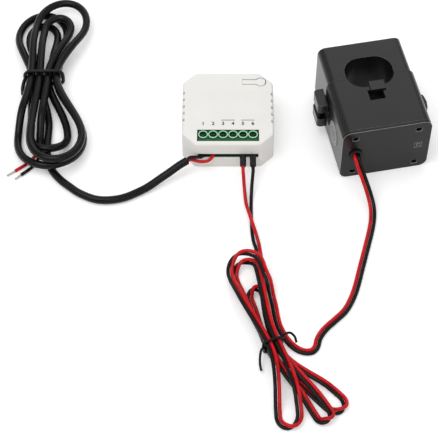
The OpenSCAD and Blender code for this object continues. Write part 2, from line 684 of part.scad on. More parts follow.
module clamp_body() {
    color(charcoal) at_clamp() difference() {
        union() {
            difference() {
                lying(clamp_w, clamp_h, clamp_round, plate_t, body_l, 0);
                difference() {
                    lying(clamp_w - 2 * clamp_wall, clamp_h - 2 * clamp_wall, clamp_round - clamp_wall,
                          plate_t - 1, body_l - clamp_wall, clamp_wall);
                    window_cut(window_wall, -1, clamp_h + 1);
                    box(-5.4, 5, pocket_b - 7.8, pocket_b + 1.2, clamp_h - 6.2, clamp_h);
                }
            }
            for (z = lug_z) {
                translate([hinge_a, hinge_b, z]) cylinder(r = knuckle_r, h = lug_h);
                box(clamp_w / 2 - 0.5, hinge_a, hinge_b - knuckle_r, hinge_b + knuckle_r, z, z + lug_h);
                translate([0, 0, z]) linear_extrude(lug_h)
                    polygon([[clamp_w / 2 - 0.5, hinge_b - 11], [hinge_a - 1.4, hinge_b - 10],
                             [hinge_a + knuckle_r - 0.2, hinge_b - 7],
                             [hinge_a + knuckle_r + 0.4, hinge_b - 3],
                             [hinge_a + knuckle_r, hinge_b], [clamp_w / 2 - 0.5, hinge_b]]);
            }
            box(-clamp_w / 2 - 1.4, -clamp_w / 2 + 0.5, hinge_b - 3, hinge_b,
                catch_z, catch_z + catch_h);
        }
        window_cut(0, -1, clamp_h + 1);
        leg_cuts(body_l - clamp_wall - 1, body_l + 1);
        box(-4.2, 3.8, pocket_b - 6.6, pocket_b, clamp_h - 5, clamp_h + 1);
        translate([hinge_a, hinge_b, 0]) cylinder(r = pin_d / 2 + 0.02, h = clamp_h);
    }
}

module clamp_end_plate() {
    color(charcoal) at_clamp() difference() {
        lying(clamp_w, clamp_h, clamp_round, 0, plate_t, 0);
        for (a = [-16.3, 16.3]) {
            for (z = [4, clamp_h - 5]) {
                box(a - 1.5, a + 1.5, -1, plate_t + 1, z - 1.25, z + 1.25);
            }
        }
        difference() {
            box(15.2, 18.8, -1, 0.7, 15.7, 19.3);
            box(16.2, 17.8, -2, 1, 16.7, 18.3);
        }
        translate([lead_a, plate_t + 1, lead_z]) rotate([90, 0, 0])
            cylinder(d = lead_hole_d, h = plate_t + 2);
    }
}

module clamp_jaw() {
    jaw_h = clamp_h - 2 * jaw_drop;
    far = jaw_b + jaw_l;
    web_z = lug_z[0] + lug_h + 0.3;
    color(charcoal) at_clamp() difference() {
        union() {
            difference() {
                lying(jaw_w, jaw_h, clamp_round - 0.5, jaw_b, far, jaw_drop);
                difference() {
                    lying(jaw_w - 2 * clamp_wall, jaw_h - 2 * clamp_wall, clamp_round - 0.5 - clamp_wall,
                          jaw_b + clamp_wall, far - clamp_wall, jaw_drop + clamp_wall);
                    window_cut(window_wall, -1, clamp_h + 1);
                }
            }
            translate([hinge_a, hinge_b, web_z]) cylinder(r = knuckle_r, h = web_h);
            translate([0, 0, web_z]) linear_extrude(web_h)
                polygon([[hinge_a - knuckle_r, hinge_b], [hinge_a + knuckle_r, hinge_b],
                         [hinge_a + knuckle_r, hinge_b + 2.5], [hinge_a - 1.9, jaw_b + 5.4],
                         [jaw_w / 2 - 0.5, jaw_b + 5.4], [jaw_w / 2 - 0.5, jaw_b],
                         [hinge_a - knuckle_r, jaw_b]]);
            translate([latch_a, latch_b, catch_z]) cylinder(r = 2, h = catch_h);
            box(latch_a, -jaw_w / 2 + 0.5, latch_b - 2, latch_b + 2, catch_z, catch_z + catch_h);
        }
        window_cut(0, -1, clamp_h + 1);
        leg_cuts(jaw_b - 1, jaw_b + clamp_wall + 1);
        translate([hinge_a, hinge_b, 0]) cylinder(r = pin_d / 2 + pin_clear, h = clamp_h);
        translate([latch_a, latch_b, 0]) cylinder(r = latch_pin_d / 2 + 0.02, h = clamp_h);
    }
}

module core_lower() {
    color([0.25, 0.25, 0.27]) at_clamp() {
        box(-leg_out, leg_out, yoke_b, yoke_b + yoke_t, core_z, core_z + core_h);
        box(-leg_out, -leg_in, yoke_b, body_l, core_z, core_z + core_h);
        box(leg_in, leg_out, yoke_b, body_l, core_z, core_z + core_h);
    }
}

module core_upper() {
    base = window_b + window_l / 2 + window_wall + 0.4;
    color([0.25, 0.25, 0.27]) at_clamp() {
        box(-leg_out, leg_out, base, base + 5.5, core_z, core_z + core_h);
        box(-leg_out, -leg_in, body_l + core_gap, base + 5.5, core_z, core_z + core_h);
        box(leg_in, leg_out, body_l + core_gap, base + 5.5, core_z, core_z + core_h);
    }
}

module core_spring() {
    b0 = window_b + window_l / 2 + window_wall + 0.4 + 5.5;
    b1 = jaw_b + jaw_l - clamp_wall;
    color(steel) at_clamp() translate([0, 0, core_z + 4]) linear_extrude(core_h - 8)
        polygon([[-10, b1 - 0.3], [0, b0], [10, b1 - 0.3], [10, b1], [0, b0 + 0.3], [-10, b1]]);
}

// Sleeve round the yoke of the lower core, grown on all sides
module round_yoke(half_w, grow) {
    box(-half_w, half_w, yoke_b - grow, yoke_b + yoke_t + grow, core_z - grow, core_z + core_h + grow);
}

module bobbin() {
    half_w = leg_in - 1.8 - flange_t;
    color([0.85, 0.85, 0.8]) at_clamp() difference() {
        union() {
            round_yoke(half_w, core_gap + bobbin_t);
            for (s = [-1, 1]) {
                translate([s * (half_w + flange_t / 2), 0, 0])
                    round_yoke(flange_t / 2, core_gap + bobbin_t + winding_t + 0.2);
            }
        }
        round_yoke(leg_in, core_gap);
    }
}

module winding() {
    half_w = leg_in - 1.8 - flange_t - 0.1;
    color([0.7, 0.35, 0.15]) at_clamp() difference() {
        round_yoke(half_w, core_gap + bobbin_t + 0.1 + winding_t);
        round_yoke(half_w + 1, core_gap + bobbin_t + 0.1);
    }
}

module hinge_pin() {
    color(steel) at_clamp() translate([hinge_a, hinge_b, lug_z[0]])
        cylinder(d = pin_d, h = lug_z[1] + lug_h - lug_z[0]);
}

// Two ribs round the catch and the ear of the jaw, joined by a web outside them
module latch_lever() {
    out = latch_a - 4;
    inner = -clamp_w / 2 - 0.5;
    tip = hinge_b - 4;
    back = latch_b + 1.4;
    color(charcoal) at_clamp() difference() {
        union() {
            for (z = [latch_z, latch_z + latch_h - rib_h]) {
                translate([0, 0, z]) linear_extrude(rib_h) {
                    polygon([[inner, tip], [inner, back], [out + 2, back], [out, back - 2], [out, tip + 2],
                             [out + 2, tip]]);
                    for (b = [tip + 2, back - 2]) {
                        translate([out + 2, b]) circle(2);
                    }
                }
            }
            box(out + 0.7, latch_a - 2.3, tip + 2.5, back - 1.1, latch_z + 1, latch_z + latch_h - 1);
        }
        translate([latch_a, latch_b, latch_z + 0.8])
            cylinder(r = latch_pin_d / 2 + pin_clear, h = latch_h - 1.6);
    }
}

module latch_pin() {
    color(steel) at_clamp() translate([latch_a, latch_b, latch_z + 1])
        cylinder(d = latch_pin_d, h = latch_h - 2);
}

// Tab that lies on the body and hooks over the rim of the window and the edge of its pocket
module cable_finger() {
    color([0.6, 0.6, 0.6]) at_clamp() {
        box(tab_a - 3.9, tab_a + 3.9, pocket_b - 0.8, rim_b + 2.7, clamp_h, clamp_h + 0.9);
        box(tab_a - 3.8, 3.7, pocket_b - 0.8, pocket_b - 0.1, clamp_h - 1, clamp_h + 0.5);
        box(tab_a - 3.4, tab_a + 1.9, rim_b + 1.8, rim_b + 2.7, clamp_h - 1.4, clamp_h + 0.5);
    }
}

module lead_grommet() {
    color(black) at_clamp() translate([lead_a, 0, lead_z]) rotate([90, 0, 0]) difference() {
        union() {
            cylinder(d = 7, h = 1);
            translate([0, 0, -plate_t]) cylinder(d = lead_hole_d, h = plate_t + 0.5);
        }
        translate([0, 0, -plate_t - 1]) cylinder(r = 2.2, h = plate_t + 3);
    }
}

module side_label() {
    color([0.8, 0.8, 0.8]) at_clamp() translate([-clamp_w / 2, 16, 17]) rotate([0, -90, 0])
        cylinder(d = label_d, h = 0.3);
}

module mains_core_black() {
    color(black) cord(core_black, core_d / 2, 8);
}

module mains_core_red() {
    color(red) cord(core_red, core_d / 2, 8);
}

module mains_cable_run() {
    color(black) cord(mains_run, mr, 10);
}

module mains_cable_hank() {
    color(black) cord(mains_line(4, 6), mr - mains_room / 2, 6);
}

module mains_tie() {
    half_w = out_track + mr + 0.35 + mains_tie_d / 2;
    z0 = mains_lift - 0.15 - mains_tie_d / 2;
    z1 = ml + mains_lift + mr + 0.15 + mains_tie_d / 2;
    color(black) translate([mains_waist.x, mains_waist.y, 0]) {
        cord(tie_loop(half_w, z0, z1, 3.5, mains_tie_d), mains_tie_d / 2, 8, [0, 1, 0]);
        cord([[-half_w, -0.4, 6.6], [-half_w - 0.8, -2.6, 5.6], [-half_w - 1.4, -5.4, 3.8],
              [-half_w - 1.2, -8.4, 2]], mains_tie_d / 2, 8);
    }
}

module mains_tail_red() {
    color(red) cord(tail_red, core_d / 2, 8);
}

module mains_tail_black() {
    color(black) cord(tail_black, core_d / 2, 8);
}

// Bare conductor carried on from the last stretch of a wire
module bare_end(p, q, l) {
    d = q - p;
    translate(q) rotate([0, 90, atan2(d.y, d.x)]) cylinder(d = 1.1, h = l, $fn = 16);
}

module tinned_tips() {
    color(tin) {
        bare_end(tail_red[6], tail_red[7], tip_l);
        bare_end(tail_black[6], tail_black[7], tip_l - 1);
        bare_end(core_black[1], core_black[0], 3.6);
        bare_end(core_red[1], core_red[0], 3.6);
    }
}

module ferrules() {
    for (k = [4, 5]) {
        color(k == 4 ? red : black) translate([term_x[k], front - 0.7, wire_z]) rotate([90, 0, 0])
            cylinder(d = ferrule_d, h = ferrule_l, $fn = 24);
        color(tin) translate([term_x[k], front - 0.7, wire_z]) rotate([-90, 0, 0])
            cylinder(d = 1.2, h = term_y + 1.2 - front, $fn = 16);
    }
}

module lead_red_run() {
    color(red) cord(lead_red_pts, lead_d / 2, 8);
}

module lead_black_run() {
    color(black) cord(lead_black_pts, lead_d / 2, 8);
}

module lead_red_hank() {
    color(red) cord(red_line(4, 6), lead_d / 2, 6);
}

module lead_black_hank() {
    color(black) cord(black_line(4, 6), lead_d / 2, 6);
}

module lead_red_end() {
    color(red) cord(beside(lead_out, 180, lr), lead_d / 2, 8);
}

module lead_black_end() {
    color(black) cord(beside(lead_out, 180, -lr), lead_d / 2, 8);
}

module lead_tie() {
    half_w = lead_track + lr + lead_d / 2 + 0.2 + lead_tie_d / 2;
    z0 = level(0) + lead_lift - lead_d / 2 - 0.25 - lead_tie_d / 2;
    z1 = level(2) + lead_lift + lead_d / 2 + 0.25 + lead_tie_d / 2;
    coil = [for (q = tie_coil(half_w, z0, z1, 2, lead_tie_d))
        [lead_waist.x + q.x * cos(lead_tilt) + q.y * sin(lead_tilt),
         lead_waist.y - q.x * sin(lead_tilt) + q.y * cos(lead_tilt), q.z]];
    color(black)
        carried_cord(concat([[31.8, -133.9, 5.6], [31, -131.5, 7], [29, -130.3, 8.4], [26.9, -130.8, 8.8],
                             [25.4, -131.3, 7.8]], coil,
                            [[16.2, -137.3, 6.1], [15.2, -138.3, 6.2], [14.6, -140.9, 4.4],
                             [14.6, -144.1, 2.6], [15.2, -146.9, 1.5]]), lead_tie_d / 2, 8);
}

top_cover();
bottom_case();
button_tongue();
main_board();
terminal_block();
contact_bars();
terminal_screw(0);  // terminal_screw_1
terminal_screw(1);  // terminal_screw_2
terminal_screw(2);  // terminal_screw_3
terminal_screw(3);  // terminal_screw_4
terminal_screw(4);  // terminal_screw_5
terminal_screw(5);  // terminal_screw_6
terminal_cage(0);  // terminal_cage_1
terminal_cage(1);  // terminal_cage_2
terminal_cage(2);  // terminal_cage_3
terminal_cage(3);  // terminal_cage_4
terminal_cage(4);  // terminal_cage_5
terminal_cage(5);  // terminal_cage_6
switch_body();
switch_plunger();
radio_module();
power_transformer();
bulk_capacitor();
film_capacitor();
varistor();
fuse();
metering_chip();
clamp_body();
clamp_end_plate();
clamp_jaw();
core_lower();
core_upper();
core_spring();
bobbin();
winding();
hinge_pin();
latch_lever();
latch_pin();
cable_finger();
lead_grommet();
side_label();
mains_core_black();
mains_core_red();
mains_cable_run();
mains_cable_hank();
mains_tie();
mains_tail_red();
mains_tail_black();
tinned_tips();
ferrules();
lead_red_run();
lead_black_run();
lead_red_hank();
lead_black_hank();
lead_red_end();
lead_black_end();
lead_tie();
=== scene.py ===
"""Energy monitor with a terminal module, a bundled mains cable and a split-core clamp on a twin lead."""

import json
import math

import bmesh
import bpy
import numpy as np
from bpy.props import FloatProperty, FloatVectorProperty, PointerProperty
from mathutils import Matrix, Vector


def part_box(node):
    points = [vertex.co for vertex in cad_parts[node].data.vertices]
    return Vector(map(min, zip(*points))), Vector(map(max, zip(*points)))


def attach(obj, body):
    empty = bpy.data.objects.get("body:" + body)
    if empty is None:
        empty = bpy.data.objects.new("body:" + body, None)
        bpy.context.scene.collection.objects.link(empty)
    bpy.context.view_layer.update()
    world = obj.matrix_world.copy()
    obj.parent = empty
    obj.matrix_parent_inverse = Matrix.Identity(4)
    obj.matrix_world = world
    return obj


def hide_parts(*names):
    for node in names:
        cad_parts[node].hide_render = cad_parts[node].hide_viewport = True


bl_info = {
    "name": "Energy Monitor",
    "version": (1, 0, 0),
    "blender": (4, 5, 0),
    "location": "View3D > Sidebar > Monitor",
    "description": "Dresses the energy monitor: case, terminals, clamp, cables and stage",
    "category": "Object",
}

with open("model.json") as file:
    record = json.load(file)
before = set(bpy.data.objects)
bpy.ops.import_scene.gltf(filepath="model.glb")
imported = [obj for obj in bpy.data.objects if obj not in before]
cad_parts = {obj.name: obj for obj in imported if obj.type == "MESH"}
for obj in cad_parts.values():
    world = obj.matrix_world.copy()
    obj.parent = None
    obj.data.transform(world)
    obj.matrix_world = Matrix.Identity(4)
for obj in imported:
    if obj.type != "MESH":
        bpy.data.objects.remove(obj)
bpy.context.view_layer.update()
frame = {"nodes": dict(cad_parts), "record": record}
NODE_BODY = {n: b for b, ns in frame["record"]["behaviour"]["bodies"].items() for n in ns}
NODE_SLOT = {s["node"]: s["material_slot"] for s in frame["record"]["subparts"]}
MM = 0.001

# Module and terminals, in millimetres
TERMINALS = 6
PITCH = 5.08
TERM_X = [(k - (TERMINALS - 1) / 2) * PITCH for k in range(TERMINALS)]
TERM_Y = -17.1
WIRE_Z = 8.9
CASE_TOP = 18.0
STRIP_TOP = CASE_TOP - 1.1
WINDOW_BACK = TERM_Y + 2.74
# Height and radius of the pale rings of painted highlight on the well rims
RIM_Z = 17.45
RIM_RADIUS = 2.2
SLEEVE_Y = -24.9
DIGITS_Y = -11.3
LINES_Y = -8.1
LINE_LONG = 6.8
LINE_WIDE = 0.36
LINE_X = (0.0, 2 * PITCH)
PRINT_LIFT = 0.012
PRINT_THICK = 0.02

# Turn of the clamp about the upright axis, in degrees
CLAMP_TURN = -11.3

# Lamps: name, place, width, height and power
LAMPS = (
    ("key", (-0.35, -0.2, 0.94), 0.7, 0.7, 4.1),
    ("fill", (0.75, -0.2, 0.7), 0.6, 0.6, 0.8),
    ("back", (0.1, 0.8, 0.6), 0.8, 0.8, 1.8),
    ("edge", (0.2, -0.57, 0.53), 0.55, 0.06, 0.6),
)
LAMPS_AIM = (0, -0.03, 0)
FLOOR_HALF = 4
FLOOR_GLOW = 0.22
WORLD_LIGHT = 0.62


def colour(name, text, default):
    return FloatVectorProperty(name=name, description=text, subtype="COLOR", size=3, min=0, max=1,
                               default=default)


def length(name, text, default):
    return FloatProperty(name=name, description=text, subtype="DISTANCE", unit="LENGTH", min=0, max=0.1,
                         default=default, precision=5)


class MonitorSizes(bpy.types.PropertyGroup):
    """Sizes of the details that the solids leave plain."""

    case_edge: length("Case edge", "Rounding of the case's small edges", 0.00014)
    clamp_edge: length("Clamp edge", "Rounding of the shells' edges", 0.00018)
    plate_edge: length("Plate edge", "Rounding of the front plate's edges", 0.00025)
    metal_edge: length("Metal edge", "Rounding on screws and pins", 0.00012)
    strip_edge: length("Strip edge", "Rounding of the terminal strip's edges", 0.00012)
    latch_edge: length("Latch edge", "Rounding of the latch's edges", 0.0004)
    tab_edge: length("Tab edge", "Rounding of the window tab's edges", 0.00025)
    grommet_edge: length("Grommet edge", "Rounding of the grommet's edges", 0.0002)
    label_edge: length("Label edge", "Rounding of the label's edge", 0.00008)
    # Thickness of the ring of painted highlight round each well.
    rim_wire: length("Well rim", "Thickness of the rim round a screw well", 0.0003)
    digit_height: length("Digit height", "Height of the terminal numbers", 0.0029)
    mains_across: length("Mains cable", "Diameter of the mains cable", 0.0041)
    core_across: length("Mains core", "Diameter of one core of the mains cable", 0.0017)
    lead_across: length("Lead wire", "Diameter of one wire of the twin lead", 0.0018)
    mains_tie_across: length("Mains tie", "Diameter of the mains cable's tie", 0.002)
    lead_tie_across: length("Lead tie", "Diameter of the twin lead's tie", 0.0012)


class MonitorColours(bpy.types.PropertyGroup):
    """Colours of the finishes."""

    case: colour("Case", "Off-white moulded case", (0.75, 0.735, 0.705))
    terminal: colour("Terminals", "Green terminal strip", (0.005, 0.078, 0.02))
    # Pale green of the well rims: painted highlight.
    rim_painted_highlight: colour("Well rims", "Painted highlight on the rims of the screw wells", (0.36, 0.72, 0.48))
    clamp: colour("Clamp", "Black clamp shells", (0.006, 0.006, 0.0058))
    plate: colour("Front plate", "Black front plate of the clamp", (0.005, 0.005, 0.0048))
    latch: colour("Latch", "Black latch", (0.005, 0.005, 0.005))
    # The clamp's edge colour is paler than its shells: a painted highlight on their rounded edges.
    edge: colour("Clamp edges", "Painted highlight along the clamp edges", (0.22, 0.22, 0.215))
    black_jacket: colour("Black jacket", "Black cable jacket", (0.0045, 0.0045, 0.0045))
    red_jacket: colour("Red jacket", "Red wire jacket", (0.48, 0.006, 0.01))
    ink: colour("Ink", "Printed numbers", (0.015, 0.015, 0.015))


# Materials

def new_finish(name):
    mat = bpy.data.materials.new(name)
    mat.use_nodes = True
    tree = mat.node_tree
    shader = next(n for n in tree.nodes if n.type == "BSDF_PRINCIPLED")
    return mat, tree, shader


def object_coords(tree, stretch=None):
    coords = tree.nodes.new("ShaderNodeTexCoord").outputs["Object"]
    if stretch is None:
        return coords
    mapping = tree.nodes.new("ShaderNodeMapping")
    mapping.inputs["Scale"].default_value = stretch
    tree.links.new(coords, mapping.inputs["Vector"])
    return mapping.outputs["Vector"]


def noise(tree, vector, scale, detail=3.0, rough=0.55):
    node = tree.nodes.new("ShaderNodeTexNoise")
    node.inputs["Scale"].default_value = scale
    node.inputs["Detail"].default_value = detail
    node.inputs["Roughness"].default_value = rough
    tree.links.new(vector, node.inputs["Vector"])
    return node.outputs["Fac"]


def spread(tree, value, low, high, start=0.3, end=0.7):
    node = tree.nodes.new("ShaderNodeMapRange")
    for key, v in (("From Min", start), ("From Max", end), ("To Min", low), ("To Max", high)):
        node.inputs[key].default_value = v
    tree.links.new(value, node.inputs["Value"])
    return node.outputs["Result"]


def two_tones(tree, value, first, second):
    node = tree.nodes.new("ShaderNodeMix")
    node.data_type = "RGBA"
    a, b = (s for s in node.inputs if s.type == "RGBA")
    a.default_value, b.default_value = (*first, 1), (*second, 1)
    tree.links.new(value, node.inputs["Factor"])
    return next(s for s in node.outputs if s.type == "RGBA")


def shades(base, by):
    return [max(0.0, c * (1 - by)) for c in base], [min(1.0, c * (1 + by)) for c in base]


def raise_grain(tree, shader, value, strength, distance):
    node = tree.nodes.new("ShaderNodeBump")
    node.inputs["Strength"].default_value = strength
    node.inputs["Distance"].default_value = distance
    tree.links.new(value, node.inputs["Height"])
    tree.links.new(node.outputs["Normal"], shader.inputs["Normal"])


def moulded(name, base, drift=0.05, rough=0.45, rough_spread=0.08, grain=3500, bump=0.12, gloss=0.5):
    """Moulded plastic: a slow drift of tone, and fine grain in gloss and surface."""
    mat, tree, shader = new_finish(name)
    at = object_coords(tree)
    tree.links.new(two_tones(tree, spread(tree, noise(tree, at, 70), 0, 1), *shades(base, drift)),
                   shader.inputs["Base Color"])
    fine = noise(tree, at, grain, 2.0)
    tree.links.new(spread(tree, fine, rough - rough_spread, rough + rough_spread), shader.inputs["Roughness"])
    raise_grain(tree, shader, fine, bump, 0.00005)
    shader.inputs["Specular IOR Level"].default_value = gloss
    return mat


def jacket(name, base, rough=0.2):
    """Cable jacket: smooth soft plastic with faint drawn streaks and pits."""
    mat, tree, shader = new_finish(name)
    at = object_coords(tree)
    tree.links.new(two_tones(tree, spread(tree, noise(tree, at, 160, 4.0), 0, 1), *shades(base, 0.22)),
                   shader.inputs["Base Color"])
    fine = noise(tree, at, 2200, 4.0, 0.7)
    tree.links.new(spread(tree, fine, rough - 0.06, rough + 0.08), shader.inputs["Roughness"])
    raise_grain(tree, shader, fine, 0.08, 0.00004)
    shader.inputs["Specular IOR Level"].default_value = 0.17
    return mat


def drawn_metal(name, base, rough=0.3, stretch=(1, 1, 12), scale=900):
    """Metal with fine lines from drawing or turning, and a slight tarnish."""
    mat, tree, shader = new_finish(name)
    lines = noise(tree, object_coords(tree, stretch), scale, 4.0)
    cloud = noise(tree, object_coords(tree), 220)
    tree.links.new(two_tones(tree, spread(tree, cloud, 0, 1), *shades(base, 0.12)),
                   shader.inputs["Base Color"])
    tree.links.new(spread(tree, lines, rough - 0.1, rough + 0.14), shader.inputs["Roughness"])
    raise_grain(tree, shader, lines, 0.12, 0.00003)
    shader.inputs["Metallic"].default_value = 1.0
    return mat


def wound_copper(name):
    """Enamelled wire laid in close turns round the bobbin, darker in the grooves between turns: painted
    shade.
    """
    mat, tree, shader = new_finish(name)
    wave = tree.nodes.new("ShaderNodeTexWave")
    wave.inputs["Scale"].default_value = 420
    wave.inputs["Distortion"].default_value = 0.6
    mapping = tree.nodes.new("ShaderNodeMapping")
    mapping.inputs["Rotation"].default_value = (0, 0, math.radians(CLAMP_TURN))
    tree.links.new(object_coords(tree), mapping.inputs["Vector"])
    tree.links.new(mapping.outputs["Vector"], wave.inputs["Vector"])
    # Dark tone where the wave dips: painted shade in the grooves between turns.
    tree.links.new(two_tones(tree, wave.outputs["Fac"], (0.16, 0.045, 0.015), (0.55, 0.2, 0.07)),
                   shader.inputs["Base Color"])
    raise_grain(tree, shader, wave.outputs["Fac"], 0.5, 0.0002)
    shader.inputs["Metallic"].default_value = 0.8
    shader.inputs["Roughness"].default_value = 0.32
    return mat


def board_lacquer(name):
    """Green solder lacquer over copper tracks."""
    mat, tree, shader = new_finish(name)
    cells = tree.nodes.new("ShaderNodeTexVoronoi")
    cells.feature = "DISTANCE_TO_EDGE"
    cells.inputs["Scale"].default_value = 260
    tree.links.new(object_coords(tree, (1, 0.4, 1)), cells.inputs["Vector"])
    tree.links.new(two_tones(tree, spread(tree, cells.outputs["Distance"], 1, 0, 0.02, 0.06),
                             (0.012, 0.09, 0.03), (0.03, 0.16, 0.05)), shader.inputs["Base Color"])
    raise_grain(tree, shader, noise(tree, object_coords(tree), 1500), 0.1, 0.00004)
    shader.inputs["Roughness"].default_value = 0.3
    return mat


def ringed_label(name, centre):
    """Blank round label with thin printed rings."""
    mat, tree, shader = new_finish(name)
    away = tree.nodes.new("ShaderNodeVectorMath")
    away.operation = "DISTANCE"
    away.inputs[1].default_value = centre
    tree.links.new(object_coords(tree), away.inputs[0])
    ramp = tree.nodes.new("ShaderNodeValToRGB")
    ramp.color_ramp.interpolation = "CONSTANT"
    stops = [(0.0, 0.16), (0.36, 0.42), (0.40, 0.16), (0.70, 0.45), (0.76, 0.16), (0.92, 0.4)]
    while len(ramp.color_ramp.elements) < len(stops):
        ramp.color_ramp.elements.new(0.5)
    for e, (at, v) in zip(ramp.color_ramp.elements, stops):
        e.position, e.color = at, (v, v, v, 1)
    tree.links.new(spread(tree, away.outputs["Value"], 0, 1, 0.0, 0.0065), ramp.inputs["Fac"])
    tree.links.new(ramp.outputs["Color"], shader.inputs["Base Color"])
    fine = noise(tree, object_coords(tree), 1800)
    tree.links.new(spread(tree, fine, 0.42, 0.6), shader.inputs["Roughness"])
    raise_grain(tree, shader, fine, 0.08, 0.00003)
    return mat


FINISHES = {}


def finish_of(slot):
    """The material of a slot of the record, made once."""
    if slot in FINISHES:
        return FINISHES[slot]
    c = bpy.context.scene.monitor_colours
    made = {
        "case_plastic": lambda: moulded("case_plastic", c.case, 0.02, 0.5, 0.06, 4500, 0.10),
        "terminal_green": lambda: moulded("terminal_green", c.terminal, 0.12, 0.34, 0.08, 3000, 0.06, 0.3),
        # Pale rings on the well rims: painted highlight.
        "well_rim_highlight": lambda: moulded("well_rim_highlight", c.rim_painted_highlight, 0.08, 0.35, 0.06, 3000, 0.05),
        "circuit_board": lambda: board_lacquer("circuit_board"),
        "contact_brass": lambda: drawn_metal("contact_brass", (0.62, 0.42, 0.14)),
        # Dark green steel: painted shade at the bottom of the deep wells and painted reflection of their
        # green walls; the hinge and latch pins share it.
        "screw_steel": lambda: drawn_metal("screw_steel", (0.07, 0.14, 0.09), 0.42),
        "black_component": lambda: moulded("black_component", (0.02, 0.02, 0.022), 0.15, 0.5),
        "grey_component": lambda: moulded("grey_component", (0.42, 0.41, 0.38), 0.08, 0.5),
        "shield_can": lambda: drawn_metal("shield_can", (0.6, 0.6, 0.62), 0.35, (1, 14, 1)),
        "yellow_component": lambda: moulded("yellow_component", (0.62, 0.42, 0.06), 0.1, 0.42),
        "blue_component": lambda: moulded("blue_component", (0.03, 0.12, 0.42), 0.12, 0.3),
        "clamp_plastic": lambda: moulded("clamp_plastic", c.clamp, 0.15, 0.26, 0.05, 3800, 0.05, 0.35),
        "plate_plastic": lambda: moulded("plate_plastic", c.plate, 0.15, 0.18, 0.04, 3800, 0.03, 0.27),
        "latch_plastic": lambda: moulded("latch_plastic", c.latch, 0.15, 0.2, 0.05, 3000, 0.04, 0.34),
        # Paler finish on the clamp's rounded edges: painted highlight.
        "painted_edge_highlight": lambda: moulded("painted_edge_highlight", c.edge, 0.25, 0.24, 0.06, 2600, 0.04),
        "core_ferrite": lambda: moulded("core_ferrite", (0.05, 0.05, 0.055), 0.2, 0.6, 0.1, 2500, 0.3),
        "bobbin_plastic": lambda: moulded("bobbin_plastic", (0.66, 0.65, 0.58), 0.05, 0.5),
        "winding_copper": lambda: wound_copper("winding_copper"),
        "finger_plastic": lambda: moulded("finger_plastic", (0.009, 0.009, 0.009), 0.12, 0.3, 0.06,
                                          3600, 0.06, 0.36),
        "grommet_rubber": lambda: jacket("grommet_rubber", (0.012, 0.012, 0.012), 0.5),
        "label_film": lambda: ringed_label("label_film", tuple(middle_of("side_label"))),
        "cable_black": lambda: jacket("cable_black", c.black_jacket),
        "cable_red": lambda: jacket("cable_red", c.red_jacket),
        "sleeve_black": lambda: jacket("sleeve_black", (0.014, 0.014, 0.015), 0.5),
        "tinned_copper": lambda: drawn_metal("tinned_copper", (0.62, 0.6, 0.58), 0.3, (1, 1, 1), 2500),
        "print_ink": lambda: moulded("print_ink", c.ink, 0.1, 0.6),
    }
    FINISHES[slot] = made[slot]()
    return FINISHES[slot]


# Meshes

def middle_of(node):
    low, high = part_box(node)
    return [(a + b) / 2 for a, b in zip(low, high)]


def add_object(name, data, finish):
    obj = bpy.data.objects.new(name, data)
    bpy.context.scene.collection.objects.link(obj)
    if not data.materials:
        data.materials.append(finish)
    return obj


def baked(obj, name, finish):
    """The object with its modifiers applied, as a plain mesh in a new object."""
    mesh = bpy.data.meshes.new_from_object(obj.evaluated_get(bpy.context.evaluated_depsgraph_get()))
    bpy.data.objects.remove(obj)
    mesh.name = name
    return add_object(name, mesh, finish)


def smooth_by_angle(mesh, angle):
    mesh.shade_smooth()
    mesh.set_sharp_from_angle(angle=math.radians(angle))


def dressed(node, edge, finish, segments=2, edge_finish=None):
    """A merged copy of a solid with rounded edges, in place of the solid itself."""
    bm = bmesh.new()
    bm.from_mesh(frame["nodes"][node].data)
    bmesh.ops.remove_doubles(bm, verts=bm.verts, dist=2e-6)
    bmesh.ops.dissolve_limit(bm, angle_limit=math.radians(0.6), verts=bm.verts, edges=bm.edges)
    mesh = bpy.data.meshes.new(node)
    bm.to_mesh(mesh)
    bm.free()
    mesh.shade_smooth()
    rough = add_object(node + "_rough", mesh, finish)
    bevel = rough.modifiers.new("edge", "BEVEL")
    bevel.width = edge
    bevel.segments = segments
    bevel.limit_method = "ANGLE"
    bevel.angle_limit = math.radians(32)
    bevel.use_clamp_overlap = True
    # A second finish on the rounded edges; on the clamp it is a paler painted highlight.
    if edge_finish:
        mesh.materials.append(edge_finish)
        bevel.material = 1
    flat = rough.modifiers.new("flat", "WEIGHTED_NORMAL")
    flat.mode = "FACE_AREA"
    flat.weight = 100
    piece = baked(rough, "dressed_" + node, finish)
    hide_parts(node)
    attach(piece, NODE_BODY[node])
    return piece


def mesh_piece(name, verts, faces, finish, body):
    mesh = bpy.data.meshes.new(name)
    mesh.from_pydata([tuple(v) for v in verts], [], faces)
    bm = bmesh.new()
    bm.from_mesh(mesh)
    bmesh.ops.recalc_face_normals(bm, faces=bm.faces)
    bm.to_mesh(mesh)
    bm.free()
    smooth_by_angle(mesh, 40)
    obj = add_object(name, mesh, finish)
    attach(obj, body)
    return obj


def turned(start, along, profile, sides=28):
    """Vertices and faces of a turned solid: profile is a list of (distance along, radius)."""
    along = Vector(along).normalized()
    across = along.orthogonal().normalized()
    third = along.cross(across)
    verts, faces = [], []
    for d, r in profile:
        for k in range(sides):
            a = 2 * math.pi * k / sides
            verts.append(Vector(start) + along * d + (across * math.cos(a) + third * math.sin(a)) * r)
    for i in range(len(profile) - 1):
        for k in range(sides):
            j = (k + 1) % sides
            faces.append((i * sides + k, i * sides + j, (i + 1) * sides + j, (i + 1) * sides + k))
    faces.append(tuple(range(sides))[::-1])
    faces.append(tuple((len(profile) - 1) * sides + k for k in range(sides)))
    return verts, faces


def joined(parts):
    verts, faces = [], []
    for v, f in parts:
        n = len(verts)
        verts += v
        faces += [tuple(i + n for i in face) for face in f]
    return verts, faces


# Cord routes, in millimetres, as in the part's source

